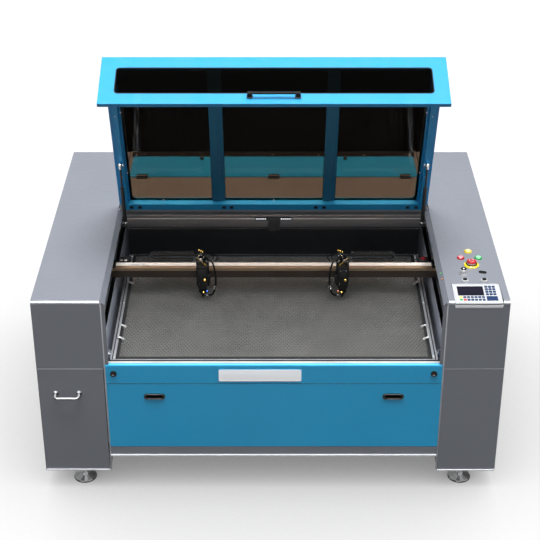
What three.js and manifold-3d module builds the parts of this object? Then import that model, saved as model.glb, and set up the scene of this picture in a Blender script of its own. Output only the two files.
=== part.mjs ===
// Flatbed laser engraver: a sheet-metal cabinet with two side wings, a honeycomb
// bed on leadscrews, a two-head gantry, a lid standing open on gas struts, a rear
// laser-tube bay, front panels and a side drawer.
// Millimetres. Origin on the floor under the cabinet, +X to the operator's
// right, +Y to the back, +Z up.
import * as THREE from 'three';
import { mergeVertices } from 'three/addons/utils/BufferGeometryUtils.js';
import Module from 'manifold-3d';

const wasm = await Module();
wasm.setup();

// ---------- driving dimensions ----------
const WIDTH = 1860; // over the two wings
const DEPTH = 1400;
const FRONT = -DEPTH / 2;
const BACK = DEPTH / 2;
const TOP = 896; // wing tops and rear deck
const BOTTOM = 85; // underside of the wings
const SEAM_Z = 588; // horizontal seam in the wing fronts
const SEAM_GAP = 1.6;
const OPEN_LEFT = -662; // inner edges of the wings
const OPEN_RIGHT = 691;
const MID_X = (OPEN_LEFT + OPEN_RIGHT) / 2;
const SHEET = 2.5; // cabinet sheet thickness
const FRONT_IN = FRONT + SHEET; // inner face of the front sheet

const HINGE_Y = 130; // lid hinge axis
const HINGE_Z = 899;
const HINGE_X = [-586, -186, 216, 616];
const HINGE_BORE_R = 3.4;

const STRUT_OFFSET = 646.5; // from MID_X
const STRUT_Y = 64; // lower pivot
const STRUT_Z = 845;

const SIDES = [
  { name: 'left', sign: -1, outer: -WIDTH / 2, inner: OPEN_LEFT, footX: -780, headX: -288 },
  { name: 'right', sign: 1, outer: WIDTH / 2, inner: OPEN_RIGHT, footX: 796, headX: 307 },
];
const [LEFT, RIGHT] = SIDES;

// ---------- solids ----------
function solid(geometry) {
  const bare = new THREE.BufferGeometry();
  bare.setAttribute('position', geometry.attributes.position);
  bare.setIndex(geometry.index);
  const merged = mergeVertices(bare, 1e-4);
  return new wasm.Manifold(new wasm.Mesh({
    numProp: 3,
    vertProperties: new Float32Array(merged.attributes.position.array),
    triVerts: new Uint32Array(merged.index.array),
  }));
}

function toGeometry(body) {
  const mesh = body.getMesh();
  const geometry = new THREE.BufferGeometry();
  const positions = new Float32Array(mesh.vertProperties);
  geometry.setAttribute('position', new THREE.BufferAttribute(positions, 3));
  geometry.setIndex(new THREE.BufferAttribute(new Uint32Array(mesh.triVerts), 1));
  geometry.computeVertexNormals();
  return geometry;
}

// The two ends of a range may come in either order, here and in the helpers below.
function box(x0, x1, y0, y1, z0, z1) {
  const geometry = new THREE.BoxGeometry(Math.abs(x1 - x0), Math.abs(y1 - y0), Math.abs(z1 - z0));
  geometry.translate((x0 + x1) / 2, (y0 + y1) / 2, (z0 + z1) / 2);
  return solid(geometry);
}

// Boxes placed by their distance from the middle of the opening.
const sideX = (sign, offset) => MID_X + sign * offset;
const midBox = (halfWidth, ...yz) => box(MID_X - halfWidth, MID_X + halfWidth, ...yz);
const sideBox = (sign, near, far, ...yz) => box(sideX(sign, near), sideX(sign, far), ...yz);

// An outline is a list of points or a THREE.Shape.
function extrude(outline, depth) {
  const shape = Array.isArray(outline)
    ? new THREE.Shape(outline.map(([u, v]) => new THREE.Vector2(u, v)))
    : outline;
  return new THREE.ExtrudeGeometry(shape, { depth, bevelEnabled: false, curveSegments: 3 });
}

// A YZ outline run along X.
function alongX(outline, from, to) {
  const geometry = extrude(outline, Math.abs(to - from));
  const start = Math.min(from, to);
  geometry.applyMatrix4(new THREE.Matrix4().set(0, 0, 1, start, 1, 0, 0, 0, 0, 1, 0, 0, 0, 0, 0, 1));
  return solid(geometry);
}

// An XZ outline run along Y.
function alongY(outline, from, to) {
  const geometry = extrude(outline, Math.abs(to - from));
  const end = Math.max(from, to);
  geometry.applyMatrix4(new THREE.Matrix4().set(1, 0, 0, 0, 0, 0, -1, end, 0, 1, 0, 0, 0, 0, 0, 1));
  return solid(geometry);
}

// An XY outline run along Z.
function alongZ(outline, from, to) {
  const geometry = extrude(outline, Math.abs(to - from));
  geometry.translate(0, 0, Math.min(from, to));
  return solid(geometry);
}

const rod = (radius, from, to, segments) =>
  new THREE.CylinderGeometry(radius, radius, Math.abs(to - from), segments);

function cylX(radius, from, to, y, z, segments = 12) {
  const geometry = rod(radius, from, to, segments).rotateZ(Math.PI / 2);
  return solid(geometry.translate((from + to) / 2, y, z));
}

function cylY(radius, from, to, x, z, segments = 14) {
  return solid(rod(radius, from, to, segments).translate(x, (from + to) / 2, z));
}

function cylZ(radius, from, to, x, y, segments = 12) {
  const geometry = rod(radius, from, to, segments).rotateX(Math.PI / 2);
  return solid(geometry.translate(x, y, (from + to) / 2));
}

// Profiles are [radius, distance along the axis].
function lathe(profile, segments) {
  const points = profile.map(([radius, along]) => new THREE.Vector2(radius, along));
  return new THREE.LatheGeometry(points, segments);
}
const turnedZ = (profile, x, y, segments) =>
  solid(lathe(profile, segments).rotateX(Math.PI / 2).translate(x, y, 0));
const turnedX = (profile, y, z, segments) =>
  solid(lathe(profile, segments).rotateZ(-Math.PI / 2).translate(0, y, z));

// Corner radii: one for all, or [low start, low end, high end, high start].
function roundedRect(u0, u1, v0, v1, radii) {
  const [r0, r1, r2, r3] = Array.isArray(radii) ? radii : [radii, radii, radii, radii];
  const quarter = Math.PI / 2;
  const shape = new THREE.Shape();
  shape.moveTo(u0 + r0, v0);
  shape.lineTo(u1 - r1, v0);
  if (r1) shape.absarc(u1 - r1, v0 + r1, r1, -quarter, 0, false);
  shape.lineTo(u1, v1 - r2);
  if (r2) shape.absarc(u1 - r2, v1 - r2, r2, 0, quarter, false);
  shape.lineTo(u0 + r3, v1);
  if (r3) shape.absarc(u0 + r3, v1 - r3, r3, quarter, Math.PI, false);
  shape.lineTo(u0, v0 + r0);
  if (r0) shape.absarc(u0 + r0, v0 + r0, r0, Math.PI, Math.PI * 1.5, false);
  return shape;
}

const union = (first, ...rest) => rest.reduce((body, part) => body.add(part), first);
const cut = (first, ...rest) => rest.reduce((body, part) => body.subtract(part), first);

// ---------- materials ----------
const standard = (options) => new THREE.MeshStandardMaterial(options);
const clear = { transparent: true };
const finish = {
  grey: standard({ color: 0x9a9fa6, roughness: 0.55, metalness: 0.25 }),
  darkGrey: standard({ color: 0x5a5e63, roughness: 0.55, metalness: 0.25 }),
  charcoal: standard({ color: 0x2b2d30, roughness: 0.6, metalness: 0.2 }),
  blue: standard({ color: 0x2680af, roughness: 0.45, metalness: 0.15 }),
  aluminium: standard({ color: 0xc9c6c4, roughness: 0.35, metalness: 0.9 }),
  steel: standard({ color: 0xb9bcc0, roughness: 0.3, metalness: 0.95 }),
  black: standard({ color: 0x101113, roughness: 0.5, metalness: 0.2 }),
  chrome: standard({ color: 0xe4e6e8, roughness: 0.12, metalness: 1 }),
  smoke: standard({ color: 0x30241c, roughness: 0.15, metalness: 0, opacity: 0.6, ...clear }),
  glass: standard({ color: 0xd8e8f0, roughness: 0.1, metalness: 0, opacity: 0.4, ...clear }),
  honeycomb: standard({ color: 0x6b6b66, roughness: 0.45, metalness: 0.8 }),
  white: standard({ color: 0xd8dade, roughness: 0.5, metalness: 0.05 }),
  navy: standard({ color: 0x1a2036, roughness: 0.3, metalness: 0.1 }),
  yellow: standard({ color: 0xf0d818, roughness: 0.4, metalness: 0 }),
  red: standard({ color: 0xd4182a, roughness: 0.35, metalness: 0 }),
  green: standard({ color: 0x2da858, roughness: 0.4, metalness: 0 }),
  brass: standard({ color: 0xc89b3c, roughness: 0.3, metalness: 0.9 }),
};

const root = new THREE.Group();
function addMesh(name, body, material, parent = root) {
  const mesh = new THREE.Mesh(toGeometry(body), material);
  mesh.name = name;
  parent.add(mesh);
}

function addGroup(x, y, z, tilt) {
  const group = new THREE.Group();
  group.position.set(x, y, z);
  group.rotation.x = tilt;
  root.add(group);
  return group;
}

// ---------- base frame and feet ----------
const BAR = 40; // width of the frame bars
const FRAME_ROWS = [-640, -20, 590]; // front faces of the cross bars
const POST_NEAR = 706.5; // posts, from MID_X
const POST_FAR = 736.5;
const FOOT_Y = 630;
const FOOT_PROFILE = [
  [0, 0], [46, 0], [46, 8], [17, 17], [17, 30], [9, 32],
  [9, 66], [16, 66], [16, 76], [9, 76], [9, 85.7], [0, 85.7],
];

function baseFrame() {
  let frame = midBox(672.5, -676, 690, 216, 220); // floor pan
  for (const y of FRAME_ROWS) {
    frame = frame.add(midBox(POST_FAR, y, y + BAR, 170, 216.5));
    for (const { sign, footX } of SIDES) {
      const outerX = footX + sign * BAR / 2;
      frame = union(frame,
        sideBox(sign, POST_NEAR, POST_FAR, y, y + BAR, 95, 640),
        box(outerX, sideX(sign, POST_NEAR), y, y + BAR, 86, 104));
    }
  }
  for (const { sign, outer, inner, footX } of SIDES) {
    frame = union(frame,
      box(footX - BAR / 2, footX + BAR / 2, -655, 655, 86, 104), // runner over the feet
      box(outer - sign * 3, inner + sign * 3.5, -696, 696, 103, 106)); // wing floor pan
  }
  return frame;
}
addMesh('base_frame', baseFrame(), finish.charcoal);

for (const { name, footX } of SIDES) {
  for (const [end, y] of [['front', -FOOT_Y], ['rear', FOOT_Y]]) {
    addMesh(`foot_${end}_${name}`, turnedZ(FOOT_PROFILE, footX, y, 16), finish.steel);
  }
}

// ---------- side wings ----------
const BEND_R = 14; // bend at the wing top's front edge
const REAR_BEND_R = 8;
const LIP_W = 19; // sloped lip along the opening
const LIP_Z = TOP - 18; // its low edge

function wingShell({ sign, outer, inner }) {
  const outside = roundedRect(FRONT, BACK, BOTTOM, TOP, [0, 0, REAR_BEND_R, BEND_R]);
  const cavity = roundedRect(FRONT_IN, BACK - SHEET, BOTTOM - 20, TOP - SHEET,
    [0, 0, REAR_BEND_R - SHEET, BEND_R - SHEET]);
  const lipX = inner - sign * LIP_W;
  const lip = [ // [x, z]
    [inner + sign * 0.2, TOP],
    [lipX, LIP_Z],
    [lipX, LIP_Z - 6],
    [lipX + sign * SHEET, LIP_Z - 6],
    [lipX + sign * SHEET, LIP_Z - 1],
    [inner + sign * 1.4, TOP - SHEET],
  ];
  return alongX(outside, outer, inner)
    .subtract(alongX(cavity, outer - sign * SHEET, inner - sign * 60))
    .add(alongY(lip, FRONT + 3, 92))
    .add(box(inner + sign * 2, lipX, FRONT + 2, FRONT + 5, 606, LIP_Z - 2)) // front jamb
    .add(box(inner + sign * SHEET, inner, FRONT + 1, BACK - 1, BOTTOM, 165)); // inner skirt
}

const drawerOpening = box(LEFT.outer + SHEET, LEFT.inner + 5,
  FRONT - 1, FRONT_IN + 0.5, BOTTOM - 1, SEAM_Z);
addMesh('left_wing_shell', wingShell(LEFT).subtract(drawerOpening), finish.grey);

// Controls on the right wing, as [x, y].
const BUTTONS = { yellow: [813, -295], red: [777, -350], green: [849, -350] };
const ESTOP = [813.5, -409];
const KEY = [772, -483];
// Recess for the control panel.
const RECESS_LEFT = 714;
const RECESS_RIGHT = 905;
const RECESS_BACK = -560;
// [y, z]: sloped floor with its own front bend
const RECESS_FLOOR = [
  [RECESS_BACK + 2, 895.8], [RECESS_BACK + 2, 889.1], [-688, 878.9], [-695.5, 876],
  [FRONT_IN, 870.5], [FRONT_IN, 862], [FRONT, 862], [FRONT, 871.5],
  [FRONT_IN, 878], [-689, 881.9], [RECESS_BACK - 0.5, 892.3], [RECESS_BACK - 0.5, 895.8],
];
// [y, z]: wall at each side of the recess
const RECESS_CHEEK = [
  [RECESS_BACK + 2, 895.9], [RECESS_BACK + 2, 886], [-697.6, 868], [FRONT, 864],
  [FRONT, 882], [-698, 889], [-693, 894], [-686, TOP],
];

function rightWing() {
  const seam = box(RIGHT.outer + 1, RIGHT.inner - 1,
    FRONT - 1, FRONT + 1.3, SEAM_Z - SEAM_GAP, SEAM_Z);
  let shell = wingShell(RIGHT)
    .subtract(seam)
    .subtract(box(RECESS_LEFT, RECESS_RIGHT, FRONT - 1, RECESS_BACK, 866, TOP + 2))
    .add(alongX(RECESS_FLOOR, RECESS_LEFT - 2, RECESS_RIGHT + 2))
    .add(alongX(RECESS_CHEEK, RECESS_LEFT - 2, RECESS_LEFT + 0.5))
    .add(alongX(RECESS_CHEEK, RECESS_RIGHT - 0.5, RECESS_RIGHT + 2));
  for (const [x, y] of [...Object.values(BUTTONS), ESTOP]) {
    shell = shell.subtract(cylZ(12.8, 880, 900, x, y));
  }
  return shell.subtract(cylZ(10, 880, 900, ...KEY));
}
addMesh('right_wing_shell', rightWing(), finish.grey);

// Wall with a slot for the gantry; a tab left in the slot carries the strut stud.
function innerWall({ sign, inner }) {
  const tab = box(inner + sign * 9, inner - sign * 9, 36, 92, 826, 880);
  const slot = box(inner + sign * 4, inner - sign * 4, -600, 388, 680, 860).subtract(tab);
  const studEnd = sideX(sign, STRUT_OFFSET) + sign * 10.5;
  return box(inner + sign * 2, inner - sign * 0.5, -694, 692, 222, 870)
    .subtract(slot)
    .add(cylX(5, inner + sign * 1.5, studEnd, STRUT_Y, STRUT_Z));
}
for (const side of SIDES) addMesh(`${side.name}_inner_wall`, innerWall(side), finish.grey);

// ---------- rear housing, bulkhead, rear panel ----------
// [y, z]: bent sheet, stepped at the hinge
const HOUSING_OUTLINE = [
  [98, 806], [98, 859], [136, 859], [136, 893], [697, 893], [697, 880],
  [BACK, 880], [BACK, TOP], [133, TOP], [133, 862], [95, 862], [95, 806],
];

function rearHousing() {
  let housing = alongX(HOUSING_OUTLINE, MID_X - 673, MID_X + 673)
    .subtract(midBox(646.5, 427, 625, 880, 900)); // opening over the tubes
  for (const x of HINGE_X) {
    housing = housing.subtract(cylX(7.4, x - 15, x + 15, HINGE_Y, HINGE_Z));
    for (const end of [-1, 1]) {
      housing = housing.add(cylX(7, x + end * 15.5, x + end * 45, HINGE_Y, HINGE_Z));
    }
  }
  return housing.subtract(cylX(HINGE_BORE_R, -700, 700, HINGE_Y, HINGE_Z, 8));
}
addMesh('rear_housing', rearHousing(), finish.charcoal);
addMesh('lid_hinge_rod', cylX(2.9, -636, 666, HINGE_Y, HINGE_Z, 10), finish.steel);
addMesh('bulkhead', midBox(672, 398, 401, 222, 891), finish.charcoal);

const DUCT_X = -300;
const DUCT_Z = 330;
const ductDisc = (radius, y0, y1) => cylY(radius, y0, y1, DUCT_X, DUCT_Z, 24);

function rearPanel() {
  let panel = midBox(672.5, BACK - SHEET, BACK, 170, 879).subtract(ductDisc(73, 690, 705));
  for (let i = 0; i < 7; i++) { // louvres
    panel = panel.subtract(box(-135, 165, 690, 705, 615 + i * 22, 624 + i * 22));
  }
  return panel;
}
addMesh('rear_panel', rearPanel(), finish.grey);
addMesh('exhaust_duct',
  ductDisc(92, 700.3, 703).add(ductDisc(75, 702, 746.5)).subtract(ductDisc(72.5, 690, 760)),
  finish.black);

// ---------- laser tubes ----------
const TUBES = { front: 475, rear: 575 }; // y of each axis
const TUBE_Z = 815;
const TUBE_R = 40;
const TUBE_PROFILE = [
  [0, -600], [12, -600], [22, -592], [22, -560], [TUBE_R, -545],
  [TUBE_R, 575], [22, 590], [22, 622], [12, 630], [0, 630],
];

function tubeCradle() {
  let cradle = midBox(654.5, 405, 640, 742, 745).add(midBox(654.5, 403, 406, 700, 790));
  for (const sign of [-1, 1]) {
    const x = sideX(sign, 419.5);
    let saddle = box(x - 12, x + 12, 420, 630, 744, 806);
    for (const y of Object.values(TUBES)) {
      saddle = saddle.subtract(cylX(TUBE_R + 0.6, x - 20, x + 20, y, TUBE_Z, 16));
    }
    cradle = cradle.add(saddle);
  }
  return cradle;
}
addMesh('tube_cradle', tubeCradle(), finish.black);
for (const [name, y] of Object.entries(TUBES)) {
  addMesh(`laser_tube_${name}`, turnedX(TUBE_PROFILE, y, TUBE_Z, 16), finish.glass);
}
addMesh('tube_cover', union(
  midBox(656.5, 417, 635, 896.5, 899.5),
  midBox(640.5, 618, 621, 884, 897),
  midBox(640.5, 432, 435, 884, 897),
), finish.blue);

// ---------- front: sill, plinth, access panel, lower door ----------
const PANEL_HALF = 670.5; // half width of every front panel

addMesh('front_sill', union(
  midBox(PANEL_HALF, -688, -670, 604, 608),
  midBox(PANEL_HALF, -672.5, -670, 582, 606),
), finish.aluminium);
addMesh('front_plinth', union(
  midBox(PANEL_HALF, FRONT, FRONT_IN, 166, 203),
  midBox(PANEL_HALF, -699, -678, 203 - SHEET, 203),
  midBox(PANEL_HALF, -699, -678, 166, 166 + SHEET),
), finish.darkGrey);

const LOCKS = [ // tongue: direction of the tongue along X
  { name: 'left_lock', x: -626, tongue: 1 },
  { name: 'right_lock', x: 652, tongue: -1 },
];
const LOCK_Z = 563;
// [y, z]: folded sheet with a bent top edge
const ACCESS_OUTLINE = [
  [-690, 518.5], [FRONT_IN, 518.5], [FRONT_IN, 598], [-695.9, 601.9], [-691.5, 603.5],
  [-690, 603.5], [-690, 606], [-692, 606], [-697.7, 603.7], [FRONT, 598],
  [FRONT, 516], [-690, 516],
];
addMesh('front_access_panel', cut(
  alongX(ACCESS_OUTLINE, MID_X - PANEL_HALF, MID_X + PANEL_HALF),
  ...LOCKS.map(({ x }) => cylY(10.6, -705, -690, x, LOCK_Z)),
), finish.blue);
for (const { name, x, tongue } of LOCKS) {
  addMesh(name, union(
    cylY(10, -706, -665.5, x, LOCK_Z),
    box(x, x + tongue * 28, -669, -665.5, LOCK_Z - 5, LOCK_Z + 5),
  ), finish.black);
}

const DOOR_LOW = 206;
const DOOR_HIGH = 511.5;
const PULLS = { left: -466, right: 494 }; // centre x
const PULL_Z = 454;

// Slab with nearly semicircular ends, at a door pull's centre.
function pullSlab(x, halfWidth, halfHeight, y0, y1) {
  return alongY(roundedRect(x - halfWidth, x + halfWidth,
    PULL_Z - halfHeight, PULL_Z + halfHeight, halfHeight - 0.1), y0, y1);
}

function lowerDoor() {
  let door = union(
    midBox(PANEL_HALF, FRONT, FRONT_IN, DOOR_LOW, DOOR_HIGH),
    midBox(PANEL_HALF, -699, -685, DOOR_HIGH - SHEET, DOOR_HIGH),
    midBox(PANEL_HALF, -699, -685, DOOR_LOW, DOOR_LOW + SHEET));
  for (const sign of [-1, 1]) {
    door = door.add(
      sideBox(sign, PANEL_HALF - SHEET, PANEL_HALF, -699, -685, DOOR_LOW, DOOR_HIGH));
  }
  return cut(door, ...Object.values(PULLS).map((x) => pullSlab(x, 38, 10, -705, -690)));
}
addMesh('front_lower_door', lowerDoor(), finish.blue);
for (const [name, x] of Object.entries(PULLS)) {
  addMesh(`${name}_door_pull`, pullSlab(x, 43, 13.5, -703.3, -700.3)
    .add(pullSlab(x, 37, 9.2, -701, -684))
    .subtract(pullSlab(x, 33, 6.5, -710, -686.5)), finish.black);
}

// ---------- side drawer ----------
const drawerTray = box(-912, -727, -698, -330, 110, 400)
  .subtract(box(-912 + SHEET, -727 - SHEET, FRONT_IN, -330 - SHEET, 110 + SHEET, 410));
addMesh('drawer_box',
  box(-926.9, -665.2, FRONT, FRONT_IN, 87, SEAM_Z - SEAM_GAP).add(drawerTray),
  finish.darkGrey);

// A bow swept along its centreline, with a round boss at each end.
function drawerHandle() {
  const [left, right, gripY, mountZ, bendZ, gripZ, bendR] = [-862, -768, -731, 470, 466, 463, 12];
  const points = [
    [left, -704, mountZ], [left, gripY + bendR, bendZ],
    [left, gripY, gripZ], [left + bendR, gripY, gripZ],
    [right - bendR, gripY, gripZ], [right, gripY, gripZ],
    [right, gripY + bendR, bendZ], [right, -704, mountZ],
  ].map((point) => new THREE.Vector3(...point));
  const path = new THREE.CurvePath();
  path.add(new THREE.LineCurve3(points[0], points[1]));
  path.add(new THREE.QuadraticBezierCurve3(points[1], points[2], points[3]));
  path.add(new THREE.LineCurve3(points[3], points[4]));
  path.add(new THREE.QuadraticBezierCurve3(points[4], points[5], points[6]));
  path.add(new THREE.LineCurve3(points[6], points[7]));
  const section = new THREE.Shape();
  section.absarc(0, 0, 5.5, 0, Math.PI * 2, false);
  const bow = new THREE.ExtrudeGeometry(section,
    { steps: 24, extrudePath: path, bevelEnabled: false, curveSegments: 4 });
  return union(solid(bow), ...[left, right].map((x) => cylY(6.5, -708, -700.3, x, mountZ)));
}
addMesh('drawer_handle', drawerHandle(), finish.chrome);

// ---------- lid, modelled closed with its hinge at the origin, then turned open ----------
const LID_OPEN = THREE.MathUtils.degToRad(69.3);
const LID_LEFT = -659;
const LID_RIGHT = 687;
const LID_FRONT = -851;
const LID_LOW = -266; // bottom edge of the front face
const RIM_LOW = -30; // underside of the stiffening rim
const LID_WINDOWS = [ // leftR, rightR: corner radii on each side
  { name: 'left', from: -599, to: -254, leftR: 18, rightR: 2 },
  { name: 'centre', from: -194, to: 226, leftR: 2, rightR: 2 },
  { name: 'right', from: 282, to: 627, leftR: 2, rightR: 18 },
];
const lid = addGroup(0, HINGE_Y, HINGE_Z, -LID_OPEN);

// Channel-section rim under the lid.
function lidRim() {
  const channel = [RIM_LOW + SHEET, -3];
  return cut(midBox(655.5, -830, 0, RIM_LOW, -2),
    midBox(633.5, -808, -35, -40, 5),
    sideBox(-1, 636, 680, -827, -13, ...channel),
    sideBox(1, 636, 680, -827, -13, ...channel),
    midBox(680, -32.5, -12, ...channel),
    midBox(680, -827.5, -810.5, ...channel));
}

function lidShell() {
  let shell = box(LID_LEFT, LID_RIGHT, LID_FRONT, 0, -3, 0);
  for (const { from, to, leftR, rightR } of LID_WINDOWS) {
    const hole = roundedRect(from, to, -790, -47, [leftR, rightR, rightR, leftR]);
    shell = shell.subtract(alongZ(hole, -10, 10));
  }
  const frontHole = alongY(roundedRect(MID_X - 612, MID_X + 612, -207, -63, 15), -860, -840);
  const flange = [LID_FRONT + 1, LID_FRONT + 16];
  shell = union(shell,
    lidRim(),
    box(LID_LEFT, LID_RIGHT, LID_FRONT, LID_FRONT + 3, LID_LOW, 0).subtract(frontHole),
    box(LID_LEFT, LID_RIGHT, ...flange, LID_LOW, LID_LOW + SHEET),
    box(LID_LEFT, LID_LEFT + SHEET, ...flange, LID_LOW, -1),
    box(LID_RIGHT - SHEET, LID_RIGHT, ...flange, LID_LOW, -1),
    // gas strut brackets
    sideBox(-1, 633.7, 635.9, -304, -276, -52, -25),
    sideBox(1, 633.7, 635.9, -304, -276, -52, -25));
  shell = shell.subtract(cylX(4.3, -700, 700, 0, 0));
  for (const x of HINGE_X) {
    const knuckle = cylX(6.5, x - 14.5, x + 14.5, 0, 0)
      .add(box(x - 14.5, x + 14.5, -14, -4, -8, -0.5));
    shell = shell.subtract(cylX(7.9, x - 46, x + 46, 0, 0)).add(knuckle);
  }
  return shell.subtract(cylX(HINGE_BORE_R, -700, 700, 0, 0, 8));
}
addMesh('lid_shell', lidShell(), finish.blue, lid);
for (const { name, from, to } of LID_WINDOWS) {
  const pane = box(from - 10, to + 10, -800, -37.5, -6.4, -3.3);
  addMesh(`lid_window_${name}`, pane, finish.smoke, lid);
}
addMesh('lid_front_window',
  midBox(621.5, LID_FRONT + 3.3, LID_FRONT + 6.3, -217, -53), finish.smoke, lid);

const HANDLE_X = 13.5;
addMesh('lid_handle', union(
  box(HANDLE_X - 97.5, HANDLE_X + 97.5, -875, -868, -232, -222),
  ...[-1, 1].map((sign) =>
    box(HANDLE_X + sign * 83.5, HANDLE_X + sign * 101.5, -875, -851.3, -234, -221)),
), finish.black, lid);

// ---------- gas struts, upright in their own frame ----------
const STRUT_LENGTH = 319.53; // between pivots, extended
const STRUT_LEAN = THREE.MathUtils.degToRad(13.723); // from vertical
const STRUT_PROFILE = [[0, 4], [8.5, 8], [8.5, 190], [7.5, 192], [0, 192]];

for (const { name, sign } of SIDES) {
  const strut = addGroup(sideX(sign, STRUT_OFFSET), STRUT_Y, STRUT_Z, STRUT_LEAN);
  addMesh(`${name}_strut_cylinder`, turnedZ(STRUT_PROFILE, 0, 0, 12)
    .add(cylX(9, -9.5, 9.5, 0, 0))
    .subtract(cylZ(5.4, 14, 200, 0, 0)), finish.black, strut);
  addMesh(`${name}_strut_rod`, cylZ(4.4, 112, 316, 0, 0, 10)
    .add(cylX(8, -8.5, 8.5, 0, STRUT_LENGTH)), finish.steel, strut);
}

// ---------- bed ----------
const BED_TOP = 605; // honeycomb surface
const SCREWS = SIDES.flatMap(({ name, sign }) => [
  { name: `front_${name}`, sign, x: sideX(sign, 665.5), y: -600 },
  { name: `rear_${name}`, sign, x: sideX(sign, 665.5), y: 140 },
]);

function bedFrame() {
  let frame = midBox(654.5, -663, 215, 577, 607).subtract(midBox(626, -650.5, 200, 570, 620));
  for (let i = 0; i < 4; i++) { // cross bars under the honeycomb
    const y = -520 + i * 180;
    frame = frame.add(box(-620, 650, y, y + 24, 577, 589));
  }
  for (const { sign, x, y } of SCREWS) {
    frame = frame
      .add(box(x - 7.5, sideX(sign, 646.5), y - 14, y + 14, 580, 600))
      .subtract(cylZ(7.7, 560, 620, x, y, 20));
  }
  for (const sign of [-1, 1]) { // groove along each side rail
    frame = frame.subtract(sideBox(sign, 643.5, 648.5, -670, 230, 601, 610));
  }
  return frame;
}
addMesh('bed_frame', bedFrame(), finish.aluminium);
addMesh('honeycomb_panel', midBox(625.5, -650, 199.5, 590, BED_TOP), finish.honeycomb);
for (const { name, x, y } of SCREWS) {
  const screw = cylZ(7, 220.5, 612, x, y, 14).add(cylZ(9, 220.5, 240, x, y, 14));
  addMesh(`leadscrew_${name}`, screw, finish.steel);
}

// ---------- gantry ----------
const RAIL_OFFSET = 721.5; // rail centres, from MID_X
const RAIL_HALF = 18;
const SHAFT_Y = 373; // axis of the drive shaft
const SHAFT_Z = 707;
const BEAM_TOP = 735;

function yRail(x) {
  const outline = [ // [x, z]
    [x - RAIL_HALF, 640.4], [x + RAIL_HALF, 640.4], [x + RAIL_HALF, 652], [x + 9, 656],
    [x + 9, 672], [x - 9, 672], [x - 9, 656], [x - RAIL_HALF, 652],
  ];
  const bearing = box(x - RAIL_HALF, x + RAIL_HALF, SHAFT_Y - 18, SHAFT_Y + 18, 645, 728);
  return alongY(outline, -655, 430)
    .add(bearing.subtract(cylX(8.5, x - 30, x + 30, SHAFT_Y, SHAFT_Z, 20)));
}
for (const { name, sign } of SIDES) {
  addMesh(`${name}_y_rail`, yRail(sideX(sign, RAIL_OFFSET)), finish.steel);
}
addMesh('y_drive_shaft', union(
  cylX(8, -768, 760, SHAFT_Y, SHAFT_Z, 16),
  ...[-1, 1].map((sign) =>
    cylX(16, sideX(sign, 684.5), sideX(sign, 698.5), SHAFT_Y, SHAFT_Z, 14)),
), finish.steel);
addMesh('x_beam', union(
  midBox(738.5, -144, -100, 689, BEAM_TOP),
  ...[-1, 1].map((sign) => // end blocks over the rails
    sideBox(sign, RAIL_OFFSET - RAIL_HALF, RAIL_OFFSET + RAIL_HALF, -168, -76, 674, BEAM_TOP)),
), finish.aluminium);

const LENS_Y = -190;
const LENS_PROFILE = [
  [0, 621], [3, 621], [4, 624], [11, 640], [14, 643], [14, 774], [12, 776], [0, 776],
];
for (const { name, sign, headX: x } of SIDES) {
  const carriage = union(
    box(x - 27, x + 27, -168, -146, 660, 781), // back plate on the front of the beam
    box(x - 20, x + 20, -212, -166, 672, 778), // lens tube housing
    box(x - 21, x + 19, -168, -96, 740, 770), // mirror mount over the beam
    box(x - 21, x + 3, -128, -98, 768, 798),
    box(x - sign * 14, x - sign * 34, -200, -160, 690, 730)); // air-assist block
  addMesh(`${name}_head_carriage`,
    carriage.subtract(cylZ(14.5, 600, 800, x, LENS_Y, 16)), finish.black);
  addMesh(`${name}_lens_tube`, turnedZ(LENS_PROFILE, x, LENS_Y, 16), finish.brass);
}

// ---------- controls ----------
// The panel lies on the recess floor, which drops 10.6 over 130.
const panel = addGroup(0, -563, 892.4, Math.atan2(10.6, 130));
const bezel = roundedRect(RECESS_LEFT + 2.5, RECESS_RIGHT - 2.5, -135.5, 0, 5);
addMesh('control_panel_bezel',
  alongZ(bezel, 1.2, 5.5).subtract(box(733, 836, -81, -17, 3.6, 8)), finish.white, panel);
addMesh('lcd_screen', box(733.5, 835.5, -80.5, -17.5, 3.9, 5.2), finish.navy, panel);

const BUTTON_PROFILE = [[0, 882], [12.2, 882], [12.2, 900.6], [11, 902], [0, 902.5]];
const COLLAR_PROFILE = [
  [13.5, 896.3], [30.5, 896.3], [30, 899], [24, 902], [13.5, 902], [13.5, 896.3],
];
const ESTOP_PROFILE = [
  [0, 882], [12, 882], [12, 908.5], [19.5, 909.5], [20.5, 912],
  [18.5, 916], [10, 918.2], [0, 918.7],
];
const KEY_PROFILE = [
  [0, 882], [9.4, 882], [9.4, 905], [14, 905.5], [14, 918], [12.5, 920], [0, 920],
];
for (const [color, [x, y]] of Object.entries(BUTTONS)) {
  addMesh(`${color}_button`, turnedZ(BUTTON_PROFILE, x, y, 16), finish[color]);
}
addMesh('estop_collar', turnedZ(COLLAR_PROFILE, ...ESTOP, 18), finish.yellow);
addMesh('estop_button', turnedZ(ESTOP_PROFILE, ...ESTOP, 18), finish.red);
const [keyX, keyY] = KEY;
addMesh('key_switch', turnedZ(KEY_PROFILE, keyX, keyY, 18)
  .add(box(keyX - 1.5, keyX + 1.5, keyY - 10, keyY + 10, 918, 922)), finish.chrome);

export default root;
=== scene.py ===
"""Laser cutting machine: a wide grey cabinet with a blue front, standing on chromed feet.

It faces -Y, with +X to the right and +Z up, and the floor at z = 0.  A honeycomb bed lies under
a gantry with two heads, the windowed lid stands open on its rear hinge, and the control cluster
is on top of the right wing.  Pieces are laid out in millimetres and stored in metres.
"""

import bmesh
import bpy
import math
import random
from functools import partial
from mathutils import Matrix, Vector


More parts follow.
